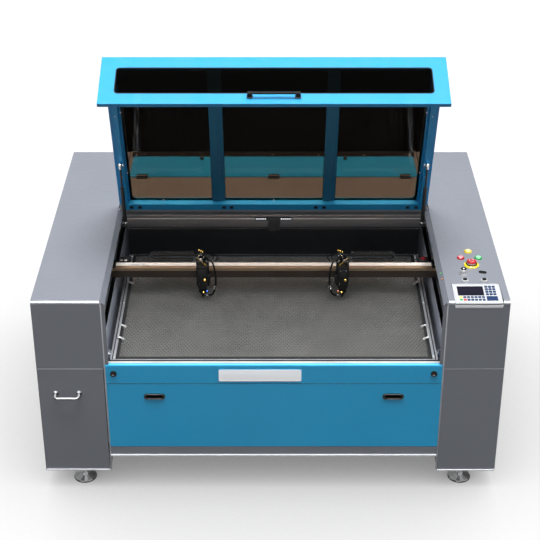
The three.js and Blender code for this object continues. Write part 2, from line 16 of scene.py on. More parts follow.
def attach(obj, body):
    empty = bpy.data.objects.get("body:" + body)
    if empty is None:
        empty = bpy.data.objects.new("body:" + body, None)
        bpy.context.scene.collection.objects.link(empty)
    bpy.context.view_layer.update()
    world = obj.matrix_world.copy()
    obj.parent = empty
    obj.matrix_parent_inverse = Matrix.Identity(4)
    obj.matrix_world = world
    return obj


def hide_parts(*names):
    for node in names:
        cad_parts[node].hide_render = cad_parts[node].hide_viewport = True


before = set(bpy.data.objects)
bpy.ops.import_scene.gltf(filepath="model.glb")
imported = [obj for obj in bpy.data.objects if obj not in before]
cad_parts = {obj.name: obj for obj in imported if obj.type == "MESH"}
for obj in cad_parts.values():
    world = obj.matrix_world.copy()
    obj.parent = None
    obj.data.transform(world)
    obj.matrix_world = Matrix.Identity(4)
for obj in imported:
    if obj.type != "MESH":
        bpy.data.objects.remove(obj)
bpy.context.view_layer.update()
random.seed(7)

# ------------------------------------------------------------------ driving places, millimetres
MM = 0.001
IDENTITY = Matrix.Identity(4)
move = lambda x, y, z: Matrix.Translation((x, y, z))

FRONT_SEAT = 699.9     # front details start here, just inside the front face at y = -700
CLUSTER_SEAT = 895.8   # details on top of the right wing start at this height
WING_SIDE = 930        # outer side faces of the wings, either side of x = 0
HINGE_Y, HINGE_Z = 130, 899
DUCT_X, DUCT_Z = -300, 330
LOCK_Z = 563
FOOT_RADIUS = 46.0
STRUTS = (("left", -632), ("right", 661))          # side, x
HEADS = (("left", -288, 1), ("right", 307, -1))    # side, x, direction towards the middle
BUTTONS = (("yellow", 813, -295), ("red", 777, -350), ("green", 849, -350))  # colour, x, y
ESTOP_X, ESTOP_Y = 813.5, -409
KEY_X, KEY_Y = 772, -483

# Local frames: the open lid, the tilted control panel and the two leaning struts.
LID = move(0, HINGE_Y, HINGE_Z) @ Matrix.Rotation(math.radians(-69.3), 4, "X")
PANEL = move(0, -563, 892.4) @ Matrix.Rotation(math.atan2(10.6, 130), 4, "X")
STRUT_LEAN = Matrix.Rotation(math.radians(13.721), 4, "X")


# ------------------------------------------------------------------ shader tools
def clear_tree(owner):
    owner.use_nodes = True
    owner.node_tree.nodes.clear()
    return owner.node_tree


def add_node(tree, kind, inputs=None, **settings):
    """Add a shader node; each input is given a value, a feeding socket, or a feeding node."""
    made = tree.nodes.new("ShaderNode" + kind)
    for key, value in settings.items():
        setattr(made, key, value)
    for socket, value in (inputs or {}).items():
        if isinstance(value, bpy.types.Node):
            value = value.outputs[0]
        if isinstance(value, bpy.types.NodeSocket):
            tree.links.new(value, made.inputs[socket])
        else:
            made.inputs[socket].default_value = value
    return made


def remap(node, value, source, target, **settings):
    """Map the source range of a value onto the target range."""
    return node("MapRange", {"Value": value, "From Min": source[0], "From Max": source[1],
                             "To Min": target[0], "To Max": target[1]}, **settings)


def mix_colours(node, factor, first, second):
    mixed = node("Mix", {"Factor": factor, "A": first, "B": second}, data_type="RGBA")
    return mixed.outputs["Result"]


def linear(code):
    """Linear RGB of an sRGB hex code."""
    parts = [int(code[i:i + 2], 16) / 255.0 for i in (1, 3, 5)]
    return tuple(part / 12.92 if part <= 0.04045 else ((part + 0.055) / 1.055) ** 2.4
                 for part in parts)


def scaled(colour, factor):
    return tuple(min(1.0, max(0.0, part * factor)) for part in colour) + (1.0,)


MATERIALS = {}


def finish(name, colour, metallic=0.0, rough=0.5, vary=0.06, vary_scale=3.0, grain=700.0,
           bump=0.12, rough_vary=0.10, stretch=(1, 1, 1), coat=0.0, spec=0.5, emit=0.0,
           wear=0.0):
    """Opaque surface whose colour, roughness and relief all come from noise.

    vary and rough_vary are the spreads of colour and roughness; vary_scale and grain are the
    scales of the broad and fine noise; wear is the strength of the paler worn patches.
    """
    if isinstance(colour, str):
        colour = linear(colour)
    material = MATERIALS[name] = bpy.data.materials.new(name)
    node = partial(add_node, clear_tree(material))
    mapping = node("Mapping", {"Scale": stretch, "Vector": node("TexCoord").outputs["Object"]})

    def noise(scale, detail):
        return node("TexNoise", {"Scale": scale, "Detail": detail, "Roughness": 0.55,
                                 "Vector": mapping})

    broad = noise(scale=vary_scale, detail=4.0)
    patches = noise(scale=40.0, detail=3.0)
    fine = noise(scale=grain, detail=2.0)
    # fine noise * 0.45 + broad noise remapped up to 0.55: together they span the colour mix
    blend = node("Math", {0: fine, 1: 0.45,
                          2: remap(node, broad, source=(0.3, 0.7), target=(0.0, 0.55))},
                 operation="MULTIPLY_ADD")
    base = mix_colours(node, blend, scaled(colour, 1 - vary), scaled(colour, 1 + vary))
    if wear > 0:
        worn = tuple(0.6 * part + 0.12 for part in colour)
        amount = remap(node, patches, source=(0.60, 0.78), target=(0.0, wear))
        base = mix_colours(node, amount, base, scaled(worn, 1.0))
    rough_range = (max(0.02, rough - rough_vary), min(1.0, rough + rough_vary))
    inputs = {
        "Base Color": base,
        "Roughness": remap(node, patches, source=(0.3, 0.7), target=rough_range),
        "Metallic": metallic,
        "Specular IOR Level": spec,
        "Coat Weight": coat,
        "Coat Roughness": 0.12,
        "Normal": node("Bump", {"Strength": bump, "Distance": 0.0003, "Height": fine}),
    }
    if emit > 0:
        inputs.update({"Emission Color": base, "Emission Strength": emit})
    node("OutputMaterial", {0: node("BsdfPrincipled", inputs)})


def window(name, tint, mirror):
    """Smoked acrylic: tinted without bending light, with a polished front of given mirror."""
    rough, mottle, shadow_tint = 0.02, 0.06, 0.30
    material = MATERIALS[name] = bpy.data.materials.new(name)
    node = partial(add_node, clear_tree(material))
    noise = node("TexNoise", {"Scale": 6.0, "Detail": 4.0,
                              "Vector": node("TexCoord").outputs["Object"]})
    colour = mix_colours(node, noise, scaled(tint, 1 - mottle), scaled(tint, 1 + mottle))
    clear = node("BsdfRefraction", {"IOR": 1.0, "Roughness": 0.0, "Color": colour})
    polish = node("BsdfGlossy", {
        "Color": (0.8, 0.8, 0.8, 1),
        "Roughness": remap(node, noise, source=(0.0, 1.0), target=(rough, rough + 0.05))})
    back_facing = node("NewGeometry").outputs["Backfacing"]
    front_facing = node("Math", {0: 1.0, 1: back_facing}, operation="SUBTRACT")
    front_mirror = node("Math", {0: node("Fresnel", {"IOR": 1.5}), 1: front_facing},
                        operation="MULTIPLY")
    amount = node("Math", {0: front_mirror, 1: mirror}, operation="MULTIPLY")
    pane = node("MixShader", {0: amount, 1: clear, 2: polish})
    shadow = node("BsdfTransparent", {"Color": (shadow_tint,) * 3 + (1,)})
    is_shadow = node("LightPath").outputs["Is Shadow Ray"]
    node("OutputMaterial", {0: node("MixShader", {0: is_shadow, 1: pane, 2: shadow})})


def shader_parts(name):
    """Node maker, principled shader and base colour source of a finish."""
    tree = MATERIALS[name].node_tree
    shader = next(part for part in tree.nodes if part.type == "BSDF_PRINCIPLED")
    return partial(add_node, tree), shader, shader.inputs["Base Color"].links[0].from_socket


def facing(node, axis):
    """The part of the surface normal along an axis."""
    return node("SeparateXYZ", {0: node("NewGeometry").outputs["Normal"]}).outputs[axis]


def darken_top(name, factor):
    """Darken a finish where the surface looks up: painted shade on upward faces."""
    node, shader, source = shader_parts(name)
    shade = remap(node, facing(node, "Z"), source=(0.5, 0.9), target=(1.0, factor))
    dimmed = node("VectorMath", {0: source, "Scale": shade}, operation="SCALE")
    shader.id_data.links.new(dimmed.outputs[0], shader.inputs["Base Color"])


def plate(name, axis, stops):
    """Paint bright and dark reflection bands round a finish by which way its surface faces; stops
    are (place from -axis to +axis, grey).
    """
    node, shader, source = shader_parts(name)
    # halve and shift the normal so that -1..1 becomes 0..1
    place = node("Math", {0: facing(node, axis), 1: 0.5, 2: 0.5}, operation="MULTIPLY_ADD")
    ramp = node("ValToRGB", {0: place})
    elements = ramp.color_ramp.elements
    for element, (position, grey) in zip(elements, (stops[0], stops[-1])):
        element.position = position
        element.color = (grey,) * 3 + (1,)
    for position, grey in stops[1:-1]:
        elements.new(position).color = (grey,) * 3 + (1,)
    banded = node("VectorMath", {0: source, 1: ramp}, operation="MULTIPLY").outputs[0]
    shader.id_data.links.new(banded, shader.inputs["Base Color"])
    if shader.inputs["Emission Strength"].default_value > 0:
        shader.id_data.links.new(banded, shader.inputs["Emission Color"])


# ------------------------------------------------------------------ the finishes
GREY = (0.178, 0.192, 0.225)
# three times the wing grey: painted light on the inner walls of the bed well
INSIDE_GREY = tuple(3.0 * part for part in GREY)
DRAWER_GREY = tuple(0.98 * part for part in GREY)
powder = partial(finish, grain=900)

powder("powder_grey", GREY, rough=0.46, vary=0.05, vary_scale=2.2, bump=0.22, wear=0.05,
       spec=0.4, coat=0.4)
powder("powder_grey_inside", INSIDE_GREY, vary=0.08, bump=0.2, wear=0.06, spec=0.35)
powder("powder_grey_drawer", DRAWER_GREY, rough=0.46, vary=0.05, bump=0.22, wear=0.05,
       spec=0.4, coat=0.4)
powder("powder_blue", (0.004, 0.49, 0.93), rough=0.40, vary_scale=2.0, bump=0.18, spec=0.45,
       wear=0.03)
# a darker copy of powder_blue: painted shade on the lid and the tube cover
powder("powder_blue_lid", (0.004, 0.33, 0.70), rough=0.40, vary=0.05, vary_scale=2.0,
       bump=0.18, spec=0.35, wear=0.02)
# a still darker copy of the blue: painted shade on the bars between the lid windows
powder("powder_blue_bar", (0.004, 0.14, 0.27), rough=0.42, vary=0.05, bump=0.15, spec=0.3)
powder("bolt_blue", (0.001, 0.012, 0.04), spec=0.2, rough=0.6, vary=0.1, bump=0.1)
# pale strip finish: painted highlight along edges, bends and seams
powder("bright_edge", (0.62, 0.63, 0.66), rough=0.4, vary=0.05, bump=0.1)
# glowing pale strip finish: painted highlight on lower edges and seams
powder("bright_lip", (0.52, 0.53, 0.55), vary=0.04, bump=0.1, emit=0.30, spec=0.2)
# dark finish: painted shade on the front of the rear ledge
finish("ledge_charcoal", (0.12, 0.125, 0.135), rough=0.55, vary=0.10, grain=800, bump=0.2,
       spec=0.3)
# the drawer handle's finish; its bright and dark bands are painted reflections
finish("satin_pull", (0.42, 0.425, 0.44), metallic=0.10, rough=0.30, vary=0.04, grain=400,
       bump=0.04, rough_vary=0.06, spec=0.12)
finish("powder_charcoal", "#2b2d30", rough=0.55, vary=0.12, grain=800, bump=0.2, wear=0.10,
       spec=0.35)
finish("powder_deck", (0.40, 0.402, 0.41), vary=0.08, grain=800, bump=0.2, wear=0.08,
       spec=0.35)
finish("frame_enamel", "#2d2f33", vary=0.15, grain=500, bump=0.2, wear=0.15)
finish("moulded_black", "#0e0f11", rough=0.45, vary=0.15, grain=1200, bump=0.25, spec=0.45)
finish("gloss_black", "#08080a", rough=0.18, vary=0.15, grain=400, bump=0.03,
       rough_vary=0.06, coat=0.4)
powder("anodised_black", "#0e0f11", metallic=0.45, rough=0.38, vary=0.15, bump=0.1,
       stretch=(1, 1, 6))
finish("rubber_black", "#131416", rough=0.75, vary=0.2, bump=0.4, spec=0.25)
finish("brushed_aluminium_y", "#c9ccd2", metallic=0.55, rough=0.36, grain=500, bump=0.10,
       stretch=(4, 0.15, 4), rough_vary=0.12)
finish("satin_aluminium", "#ddd6d4", metallic=0.35, rough=0.45, vary=0.04, grain=600,
       bump=0.08, stretch=(0.2, 3, 3))
finish("anodised_brown", (0.036, 0.020, 0.008), metallic=0.1, vary=0.15, grain=500,
       stretch=(0.3, 3, 3), spec=0.35)
finish("turned_steel", "#b9bcc0", metallic=1.0, rough=0.28, grain=600, bump=0.08,
       stretch=(1, 1, 5))
finish("bright_plate", (0.62, 0.62, 0.63), metallic=0.12, rough=0.24, vary=0.03, grain=300,
       bump=0.02, rough_vary=0.05)
powder("pitch_black", (0.0015, 0.0015, 0.0018), rough=0.6, vary=0.2, bump=0.2, spec=0.12)
finish("chrome_plate", "#e2e4e6", metallic=1.0, rough=0.10, vary=0.03, grain=300, bump=0.02,
       rough_vary=0.05)
# bright feet with a glow: painted light on feet in the cabinet's shade, with painted reflection
# bands below
finish("foot_chrome", (0.92, 0.92, 0.93), metallic=0.45, rough=0.16, vary=0.03, grain=300,
       bump=0.02, rough_vary=0.05, emit=0.20)
powder("zinc_screw", "#c9ccce", metallic=0.9, rough=0.3, vary=0.08, bump=0.1)
finish("honeycomb_foil", (0.385, 0.385, 0.375), metallic=0.20, rough=0.45, vary=0.18,
       vary_scale=5.0, grain=500, bump=0.15, wear=0.15)
finish("honeycomb_core", (0.085, 0.085, 0.084), metallic=0.1, rough=0.8, vary=0.25,
       vary_scale=9.0, grain=400, bump=0.3)
finish("gold_anodise", "#dcb25a", metallic=0.9, rough=0.28, vary=0.08, grain=600, bump=0.08)
finish("blue_anodise", "#2a4fae", metallic=0.6, rough=0.3, vary=0.1, grain=600, bump=0.08)
finish("orange_tube", "#e2701a", rough=0.35, vary=0.1, grain=600, bump=0.08, coat=0.3)
finish("bezel_white", (0.50, 0.51, 0.53), rough=0.42, vary=0.03, grain=1000)
# the top rail's cream, with a painted glow standing in for the light on it
finish("beam_cream", (0.93, 0.88, 0.83), rough=0.4, vary=0.04, grain=500, bump=0.1,
       stretch=(0.2, 3, 3), emit=0.30)
finish("beam_tan", (0.38, 0.25, 0.14), vary=0.10, grain=500, bump=0.15, stretch=(0.3, 3, 3))
for colour_name, code in (("yellow", "#f3e3a0"), ("red", "#f0969a"), ("green", "#8fdca6")):
    finish("lens_" + colour_name, code, rough=0.3, vary=0.04, bump=0.04, coat=0.3)
finish("plate_white", "#f2f4f5", rough=0.4, vary=0.03, grain=800, bump=0.06)
# white with a painted glow, on the nameplate and the emergency stop's skirt
finish("nameplate_white", "#f4f7fa", rough=0.4, vary=0.02, grain=800, bump=0.05, emit=0.35)
finish("screen_navy", (0.0042, 0.0038, 0.014), rough=0.22, vary=0.15, grain=200, bump=0.01,
       rough_vary=0.04, spec=0.14)
powder("key_navy", (0.003, 0.026, 0.090), rough=0.45, vary=0.08, bump=0.1, spec=0.2)
powder("bezel_groove", "#aeb3b9", rough=0.45, vary=0.05, bump=0.1)
finish("button_yellow", "#f2d41c", rough=0.32, vary=0.04, bump=0.05, coat=0.2)
finish("button_red", "#b3121f", rough=0.3, vary=0.05, bump=0.05, coat=0.2)
finish("button_green", "#27a255", rough=0.32, vary=0.05, bump=0.05, coat=0.2)
finish("led_green", "#49e06a", rough=0.3, vary=0.03, emit=1.2)
finish("led_orange", "#ff8a2a", rough=0.3, vary=0.03, emit=1.2)
finish("led_white", "#eef4ff", rough=0.3, vary=0.02, emit=1.0)
finish("cable_jacket", "#08090b", vary=0.15, grain=500, bump=0.15, spec=0.12)
finish("tube_glass", "#b9c4c8", rough=0.12, vary=0.08, grain=200, bump=0.02, coat=0.5)
finish("powder_black_inside", (0.135, 0.141, 0.154), rough=0.6, vary=0.2, bump=0.2,
       wear=0.06, spec=0.3)
window("smoked_acrylic", tint=(0.50, 0.405, 0.325), mirror=0.20)
window("smoked_acrylic_front", tint=(0.32, 0.275, 0.24), mirror=0.06)

# painted shade: the deck's upward faces get half the colour of its side faces
darken_top("powder_deck", factor=0.50)
# painted reflections: bright and dark bands, by the way the surface faces, on the drawer handle
# and the feet
plate("satin_pull", "Z", [(0.0, 1.0), (0.25, 0.9), (0.42, 0.08), (0.66, 0.04), (0.84, 0.75),
                          (1.0, 1.0)])
plate("foot_chrome", "X", [(0.0, 0.10), (0.12, 0.8), (0.24, 0.12), (0.40, 0.95), (0.47, 0.30),
                           (0.53, 1.0), (0.64, 0.16), (0.78, 0.9), (0.88, 0.10), (1.0, 0.5)])

# ------------------------------------------------------------------ CAD pieces
CAD_FINISHES = {  # material: CAD nodes
    "frame_enamel": "base_frame",
    "powder_grey": "left_wing_shell right_wing_shell rear_panel front_plinth",
    "powder_grey_inside": "left_inner_wall right_inner_wall",
    "powder_grey_drawer": "drawer_box",
    "powder_deck": "rear_housing",
    "powder_black_inside": "bulkhead",
    "turned_steel": "lid_hinge_rod leadscrew_front_left leadscrew_rear_left "
                    "leadscrew_front_right leadscrew_rear_right",
    "moulded_black": "left_strut_rod right_strut_rod left_strut_cylinder "
                     "right_strut_cylinder exhaust_duct tube_cradle",
    "brushed_aluminium_y": "left_y_rail right_y_rail bed_frame",
    "powder_charcoal": "y_drive_shaft",
    "pitch_black": "left_lock right_lock left_door_pull right_door_pull lid_handle",
    "tube_glass": "laser_tube_front laser_tube_rear",
    "powder_blue_lid": "tube_cover lid_shell",
    "powder_blue": "front_access_panel front_lower_door",
    "satin_aluminium": "front_sill",
    "satin_pull": "drawer_handle",
    "bright_plate": "key_switch",
    "smoked_acrylic": "lid_window_left lid_window_centre lid_window_right",
    "smoked_acrylic_front": "lid_front_window",
    "anodised_brown": "x_beam",
    "anodised_black": "left_head_carriage right_head_carriage left_lens_tube right_lens_tube",
    "bezel_white": "control_panel_bezel",
    "screen_navy": "lcd_screen",
    "button_yellow": "yellow_button estop_collar",
    "button_red": "red_button estop_button",
    "button_green": "green_button",
    "honeycomb_foil": "honeycomb_panel",
    "foot_chrome": "foot_front_left foot_front_right foot_rear_left foot_rear_right",
}
CAD_BEVELS = {  # edge width, mm: CAD nodes
    2.0: "lid_handle",
    1.5: "base_frame",
    1.2: "left_door_pull right_door_pull",
    1.0: "left_lock right_lock control_panel_bezel left_head_carriage right_head_carriage",
    0.8: "bed_frame x_beam tube_cover left_y_rail right_y_rail",
    0.7: "drawer_box front_plinth",
    0.6: "front_sill rear_housing front_lower_door",
    0.3: "lcd_screen",
}


def by_node(groups):
    return {name: key for key, names in groups.items() for name in names.split()}


def dress_cad_pieces():
    """Give every CAD piece its finish, weld it, and soften the listed edges."""
    finishes, bevels = by_node(CAD_FINISHES), by_node(CAD_BEVELS)
    for name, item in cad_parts.items():
        item.data.materials.clear()
        item.data.materials.append(MATERIALS[finishes[name]])
        weld = item.modifiers.new("weld", "WELD")
        weld.merge_threshold = 0.000002
        if name in bevels:
            edge = item.modifiers.new("edge", "BEVEL")
            edge.width = bevels[name] * MM
            edge.segments = 2
            edge.limit_method = "ANGLE"
            edge.angle_limit = math.radians(50)


dress_cad_pieces()

# ------------------------------------------------------------------ building tools
LIFTS = {  # an outline point and a distance along the axis -> a point in space
    "X": lambda point, along: (along, point[0], point[1]),
    "Y": lambda point, along: (point[0], along, point[1]),
    "Z": lambda point, along: (point[0], point[1], along),
}
AXIS_TURNS = {  # turns that carry +Z onto the named direction
    "Z": IDENTITY,
    "X": Matrix.Rotation(math.pi / 2, 4, "Y"),
    "Y": Matrix.Rotation(-math.pi / 2, 4, "X"),
    "-Z": Matrix.Rotation(math.pi, 4, "X"),
    "-Y": Matrix.Rotation(math.pi / 2, 4, "X"),
}


def link_object(name, data):
    item = bpy.data.objects.new(name, data)
    bpy.context.scene.collection.objects.link(item)
    return item


def mesh_object(name, material, verts, faces):
    mesh = bpy.data.meshes.new(name)
    mesh.from_pydata(verts, [], faces)
    mesh.validate()
    mesh.update()
    mesh.materials.append(MATERIALS[material])
    return link_object(name, mesh)


def polar(centre, radius, angles):
    """Points at the given angles, in degrees, round a centre."""
    return [(centre[0] + radius * math.cos(math.radians(angle)),
             centre[1] + radius * math.sin(math.radians(angle))) for angle in angles]


def rounded_rect(x0, x1, y0, y1, radius, steps=5):
    points = []
    for centre, start in (((x1 - radius, y0 + radius), -90), ((x1 - radius, y1 - radius), 0),
                          ((x0 + radius, y1 - radius), 90), ((x0 + radius, y0 + radius), 180)):
        points += polar(centre, radius, [start + 90 * k / steps for k in range(steps + 1)])
    return points


def band(bm, first, second):
    """Join two rings of vertices with quads."""
    for k in range(len(first)):
        j = (k + 1) % len(first)
        bm.faces.new((first[k], first[j], second[j], second[k]))


def bevel_sharp(bm, degrees, **settings):
    edges = [edge for edge in bm.edges
             if len(edge.link_faces) == 2 and edge.calc_face_angle(0) > math.radians(degrees)]
    bmesh.ops.bevel(bm, geom=edges, affect="EDGES", **settings)


def smooth_path(controls, steps):
    """Catmull-Rom curve through the control points."""
    controls = [Vector(point) for point in controls]
    last = len(controls) - 1
    path = []
    for i in range(last):
        p0, p1, p2, p3 = (controls[min(max(j, 0), last)] for j in range(i - 1, i + 3))
        for k in range(steps):
            t = k / steps
            path.append(0.5 * ((2 * p1) + (-p0 + p2) * t + (2 * p0 - 5 * p1 + 4 * p2 - p3) * t * t
                               + (-p0 + 3 * p1 - 3 * p2 + p3) * t ** 3))
    return path + [controls[-1]]


class Piece:
    """One mesh made of several solids, in millimetres, carried by a body of the product."""

    def __init__(self, name, material, body, place=IDENTITY):
        self.name, self.material, self.body, self.place = name, material, body, place
        self.verts, self.faces = [], []

    def add(self, bm, place=None, recalc=True):
        """Take over the solid in bm, with its faces turned outwards."""
        if recalc:
            bmesh.ops.recalc_face_normals(bm, faces=bm.faces[:])
        place = self.place if place is None else place
        base = len(self.verts)
        bm.verts.index_update()
        self.verts.extend([tuple((place @ vert.co) * MM) for vert in bm.verts])
        self.faces.extend([[base + vert.index for vert in face.verts] for face in bm.faces])
        bm.free()
        return self

    def box(self, x0, x1, y0, y1, z0, z1, bevel, place=None):
        bm = bmesh.new()
        bmesh.ops.create_cube(bm, size=1.0)
        for vert in bm.verts:
            vert.co = Vector((x0 if vert.co.x < 0 else x1, y0 if vert.co.y < 0 else y1,
                              z0 if vert.co.z < 0 else z1))
        bevel = min(bevel, 0.45 * min(abs(x1 - x0), abs(y1 - y0), abs(z1 - z0)))
        bmesh.ops.bevel(bm, geom=bm.edges[:], offset=bevel, segments=2, profile=0.6,
                        affect="EDGES")
        return self.add(bm, place)

    def turned(self, profile, at=(0, 0, 0), along="Z", sides=28):
        """Turn a profile of (radius, height); along is an axis name or a direction vector."""
        bm = bmesh.new()
        rings = []
        for radius, height in profile:
            if radius < 1e-6:
                rings.append([bm.verts.new((0, 0, height))])
            else:
                turns = [2 * math.pi * k / sides for k in range(sides)]
                rings.append([bm.verts.new((radius * math.cos(turn), radius * math.sin(turn),
                                            height)) for turn in turns])
        for low, high in zip(rings, rings[1:]):
            if len(low) > 1 and len(high) > 1:
                band(bm, low, high)
            elif len(high) > 1:
                for k in range(sides):
                    bm.faces.new((low[0], high[k], high[(k + 1) % sides]))
            elif len(low) > 1:
                for k in range(sides):
                    bm.faces.new((low[k], low[(k + 1) % sides], high[0]))
        if profile[0] == profile[-1]:
            bmesh.ops.remove_doubles(bm, verts=bm.verts[:], dist=1e-5)
        if isinstance(along, str):
            aim = AXIS_TURNS[along]
        else:
            aim = Vector(along).to_track_quat("Z", "Y").to_matrix().to_4x4()
        return self.add(bm, self.place @ move(*at) @ aim)

    def solid(self, profile, *where, **options):
        """A turned solid with flat ends."""
        ends = [(0, profile[0][1])], [(0, profile[-1][1])]
        return self.turned(ends[0] + profile + ends[1], *where, **options)

    def ring(self, profile, *where, **options):
        """A turned ring: the profile closes on itself, clear of the axis."""
        return self.turned(profile + profile[:1], *where, **options)

    def rod(self, radius, length, *where, **options):
        return self.solid([(radius, 0), (radius, length)], *where, **options)

    def screw(self, at, radius, height, along="Z", sides=20):
        """A pan-head screw with a socket in its top."""
        return self.solid([(radius * 0.9, -1.5), (radius, 0), (radius, height * 0.5),
                           (radius * 0.82, height * 0.9), (radius * 0.62, height),
                           (radius * 0.45, height), (radius * 0.42, height * 0.45)],
                          at, along, sides)

    def tube(self, controls, radius, sides, steps):
        """A round bar or cable on a smooth curve through the control points."""
        path = smooth_path(controls, steps)
        bm = bmesh.new()
        rings = []
        up = None
        for i, point in enumerate(path):
            ahead = path[min(i + 1, len(path) - 1)] - path[max(i - 1, 0)]
            ahead.normalize()
            if up is None:
                up = Vector((0, 0, 1)) if abs(ahead.z) < 0.9 else Vector((1, 0, 0))
            side = ahead.cross(up)
            if side.length < 1e-5:  # the curve has turned right onto the last up direction
                side = ahead.cross(Vector((0, 1, 0)))
            side.normalize()
            up = side.cross(ahead)
            up.normalize()
            turns = [2 * math.pi * k / sides for k in range(sides)]
            rings.append([bm.verts.new(point + side * (radius * math.cos(turn))
                                       + up * (radius * math.sin(turn))) for turn in turns])
        for first, second in zip(rings, rings[1:]):
            band(bm, first, second)
        bm.faces.new(rings[0])
        bm.faces.new(rings[-1])
        return self.add(bm)

    def prism(self, outline, axis, start, end, bevel=0.0):
        """An outline run along an axis: (y, z) for X, (x, z) for Y, (x, y) for Z."""
        bm = bmesh.new()
        first, second = ([bm.verts.new(LIFTS[axis](point, along)) for point in outline]
                         for along in (start, end))
        bm.faces.new(first)
        bm.faces.new(second)
        band(bm, first, second)
        bmesh.ops.recalc_face_normals(bm, faces=bm.faces[:])
        if bevel > 0:
            bevel_sharp(bm, 35, offset=bevel, segments=2, profile=0.6)
        return self.add(bm, recalc=False)

    def frame_ring(self, outer, inner, axis, start, end, bevel=0.0):
        """The band between two outlines of equal point count, run along an axis."""
        bm = bmesh.new()
        oa, ob, ia, ib = ([bm.verts.new(LIFTS[axis](point, along)) for point in outline]
                          for outline in (outer, inner) for along in (start, end))
        for i in range(len(outer)):
            j = (i + 1) % len(outer)
            for quad in ((oa[i], oa[j], ob[j], ob[i]), (ia[j], ia[i], ib[i], ib[j]),
                         (oa[j], oa[i], ia[i], ia[j]), (ob[i], ob[j], ib[j], ib[i])):
                bm.faces.new(quad)
        bmesh.ops.recalc_face_normals(bm, faces=bm.faces[:])
        if bevel > 0:
            bevel_sharp(bm, 60, offset=bevel, segments=1)
        return self.add(bm, recalc=False)

    def done(self, slot=None):
        item = mesh_object(self.name, self.material, self.verts, self.faces)
        for polygon in item.data.polygons:
            polygon.use_smooth = True
        item.data.set_sharp_from_angle(angle=math.radians(32))
        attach(item, self.body)


def box_piece(name, material, body, rows, slot=None, place=IDENTITY):
    """A piece of boxes; each row is x0, x1, y0, y1, z0, z1, bevel."""
    piece = Piece(name, material, body, place)
    for row in rows:
        piece.box(*row)
    piece.done(slot)


def screw_piece(name, body, spots, radius, height, along="Z", place=IDENTITY,
                material="zinc_screw"):
    """A piece of equal screws at the given (x, y, z) spots."""
    piece = Piece(name, material, body, place)
    for spot in spots:
        piece.screw(spot, radius, height, along)
    piece.done()


# ------------------------------------------------------------------ bed
def honeycomb():
    """Open hexagonal cells that share their outer corners, in place of the CAD panel."""
    x_start, x_end, y_start, y_end = -609.0, 638.0, -648.0, 197.5
    bottom, top = 590.4, 605.0
    pitch, wall = 15.0, 0.9
    cell_radius = pitch / math.sqrt(3)
    hole_radius = (pitch / 2 - wall / 2) / math.cos(math.pi / 6)
    row_pitch = 1.5 * cell_radius
    verts, faces, corners, walls = [], [], {}, {}

    def new_vertex(x, y, z):
        verts.append((x * MM, y * MM, z * MM))
        return len(verts) - 1

    def shared_vertex(x, y, z):
        key = (round(x * 50), round(y * 50), z)
        if key not in corners:
            corners[key] = new_vertex(x, y, z)
        return corners[key]

    def hexagon(centre, radius, z, vertex):
        return [vertex(x, y, z) for x, y in polar(centre, radius, range(30, 390, 60))]

    for row in range(int((y_end - y_start - cell_radius) / row_pitch)):
        shift = pitch / 2 if row % 2 else 0
        for column in range(int((x_end - x_start - shift) / pitch)):
            centre = (x_start + pitch / 2 + shift + column * pitch,
                      y_start + cell_radius + row * row_pitch)
            outer_top = hexagon(centre, cell_radius, top, shared_vertex)
            outer_low = hexagon(centre, cell_radius, bottom, shared_vertex)
            inner_top = hexagon(centre, hole_radius, top, new_vertex)
            inner_low = hexagon(centre, hole_radius, bottom, new_vertex)
            for k in range(6):
                j = (k + 1) % 6
                for low, high in ((outer_top, inner_top), (inner_top, inner_low),
                                  (inner_low, outer_low)):
                    faces.append((low[k], low[j], high[j], high[k]))
                edge = tuple(sorted((outer_top[k], outer_top[j])))
                walls.setdefault(edge, []).append(
                    (outer_top[j], outer_top[k], outer_low[k], outer_low[j]))
    # a side met by one cell only lies on the rim and gets an outer wall
    faces.extend(quads[0] for quads in walls.values() if len(quads) == 1)
    item = mesh_object("honeycomb_cells", "honeycomb_foil", verts, faces)
    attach(item, "bed")
    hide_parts("honeycomb_panel")


def bed_handles():
    """Bright pull handles on both side rails, bowed over the rail and footed on the bed."""
    handle_top, handle_foot = 618.5, 19
    piece = Piece("bed_handles", "bright_plate", "bed")
    for x, inward in ((-621, 1), (647, -1)):
        for y0, y1 in ((-514, -418), (-60, 40)):
            # one end of the bar: reach inwards from the rail, step from the end in y, height
            end = [(handle_foot, 0, 611), (8, 0, 617), (2, 1, 618), (0, 7, handle_top)]
            path = [(x + inward * reach, y0 + step, z) for reach, step, z in end]
            path.append((x, (y0 + y1) / 2, handle_top))
            path += [(x + inward * reach, y1 - step, z) for reach, step, z in end[::-1]]
            piece.tube(path, radius=4.2, sides=12, steps=5)
            for y in (y0, y1):
                piece.solid([(7.0, 606.2), (7.0, 610), (5, 613.5)],
                            (x + inward * handle_foot, y, 0))
    piece.done(slot="chrome_trim")


honeycomb()
Piece("honeycomb_edging", "rubber_black", "bed").frame_ring(
    rounded_rect(-619, 648, -661, 207, 1), rounded_rect(-606, 635, -645, 194.5, 1),
    "Z", 607.1, 608.6).done()
box_piece("bed_tray", "honeycomb_core", "bed", [(-606, 636, -646, 196, 589.2, 590.2, 0.3)])
box_piece("bed_grooves", "rubber_black", "bed",
          [(x0, x1, -655, 208, 601.2, 604.0, 0.5) for x0, x1 in ((-633.6, -629.4),
                                                                (658.4, 662.6))])
bed_handles()
screw_piece("bed_corner_screws", "bed",
            [(x, y, 607) for x in (-625, 653.5) for y in (-640, -220, -10, 190)], 3.6, 2.0)

# ------------------------------------------------------------------ lid, in the lid's frame
WINDOWS = [(-599, -254), (-194, 226), (282, 627)]  # x0, x1
PANE_UNDERSIDE = -6.4
RIM_UNDERSIDE = -30


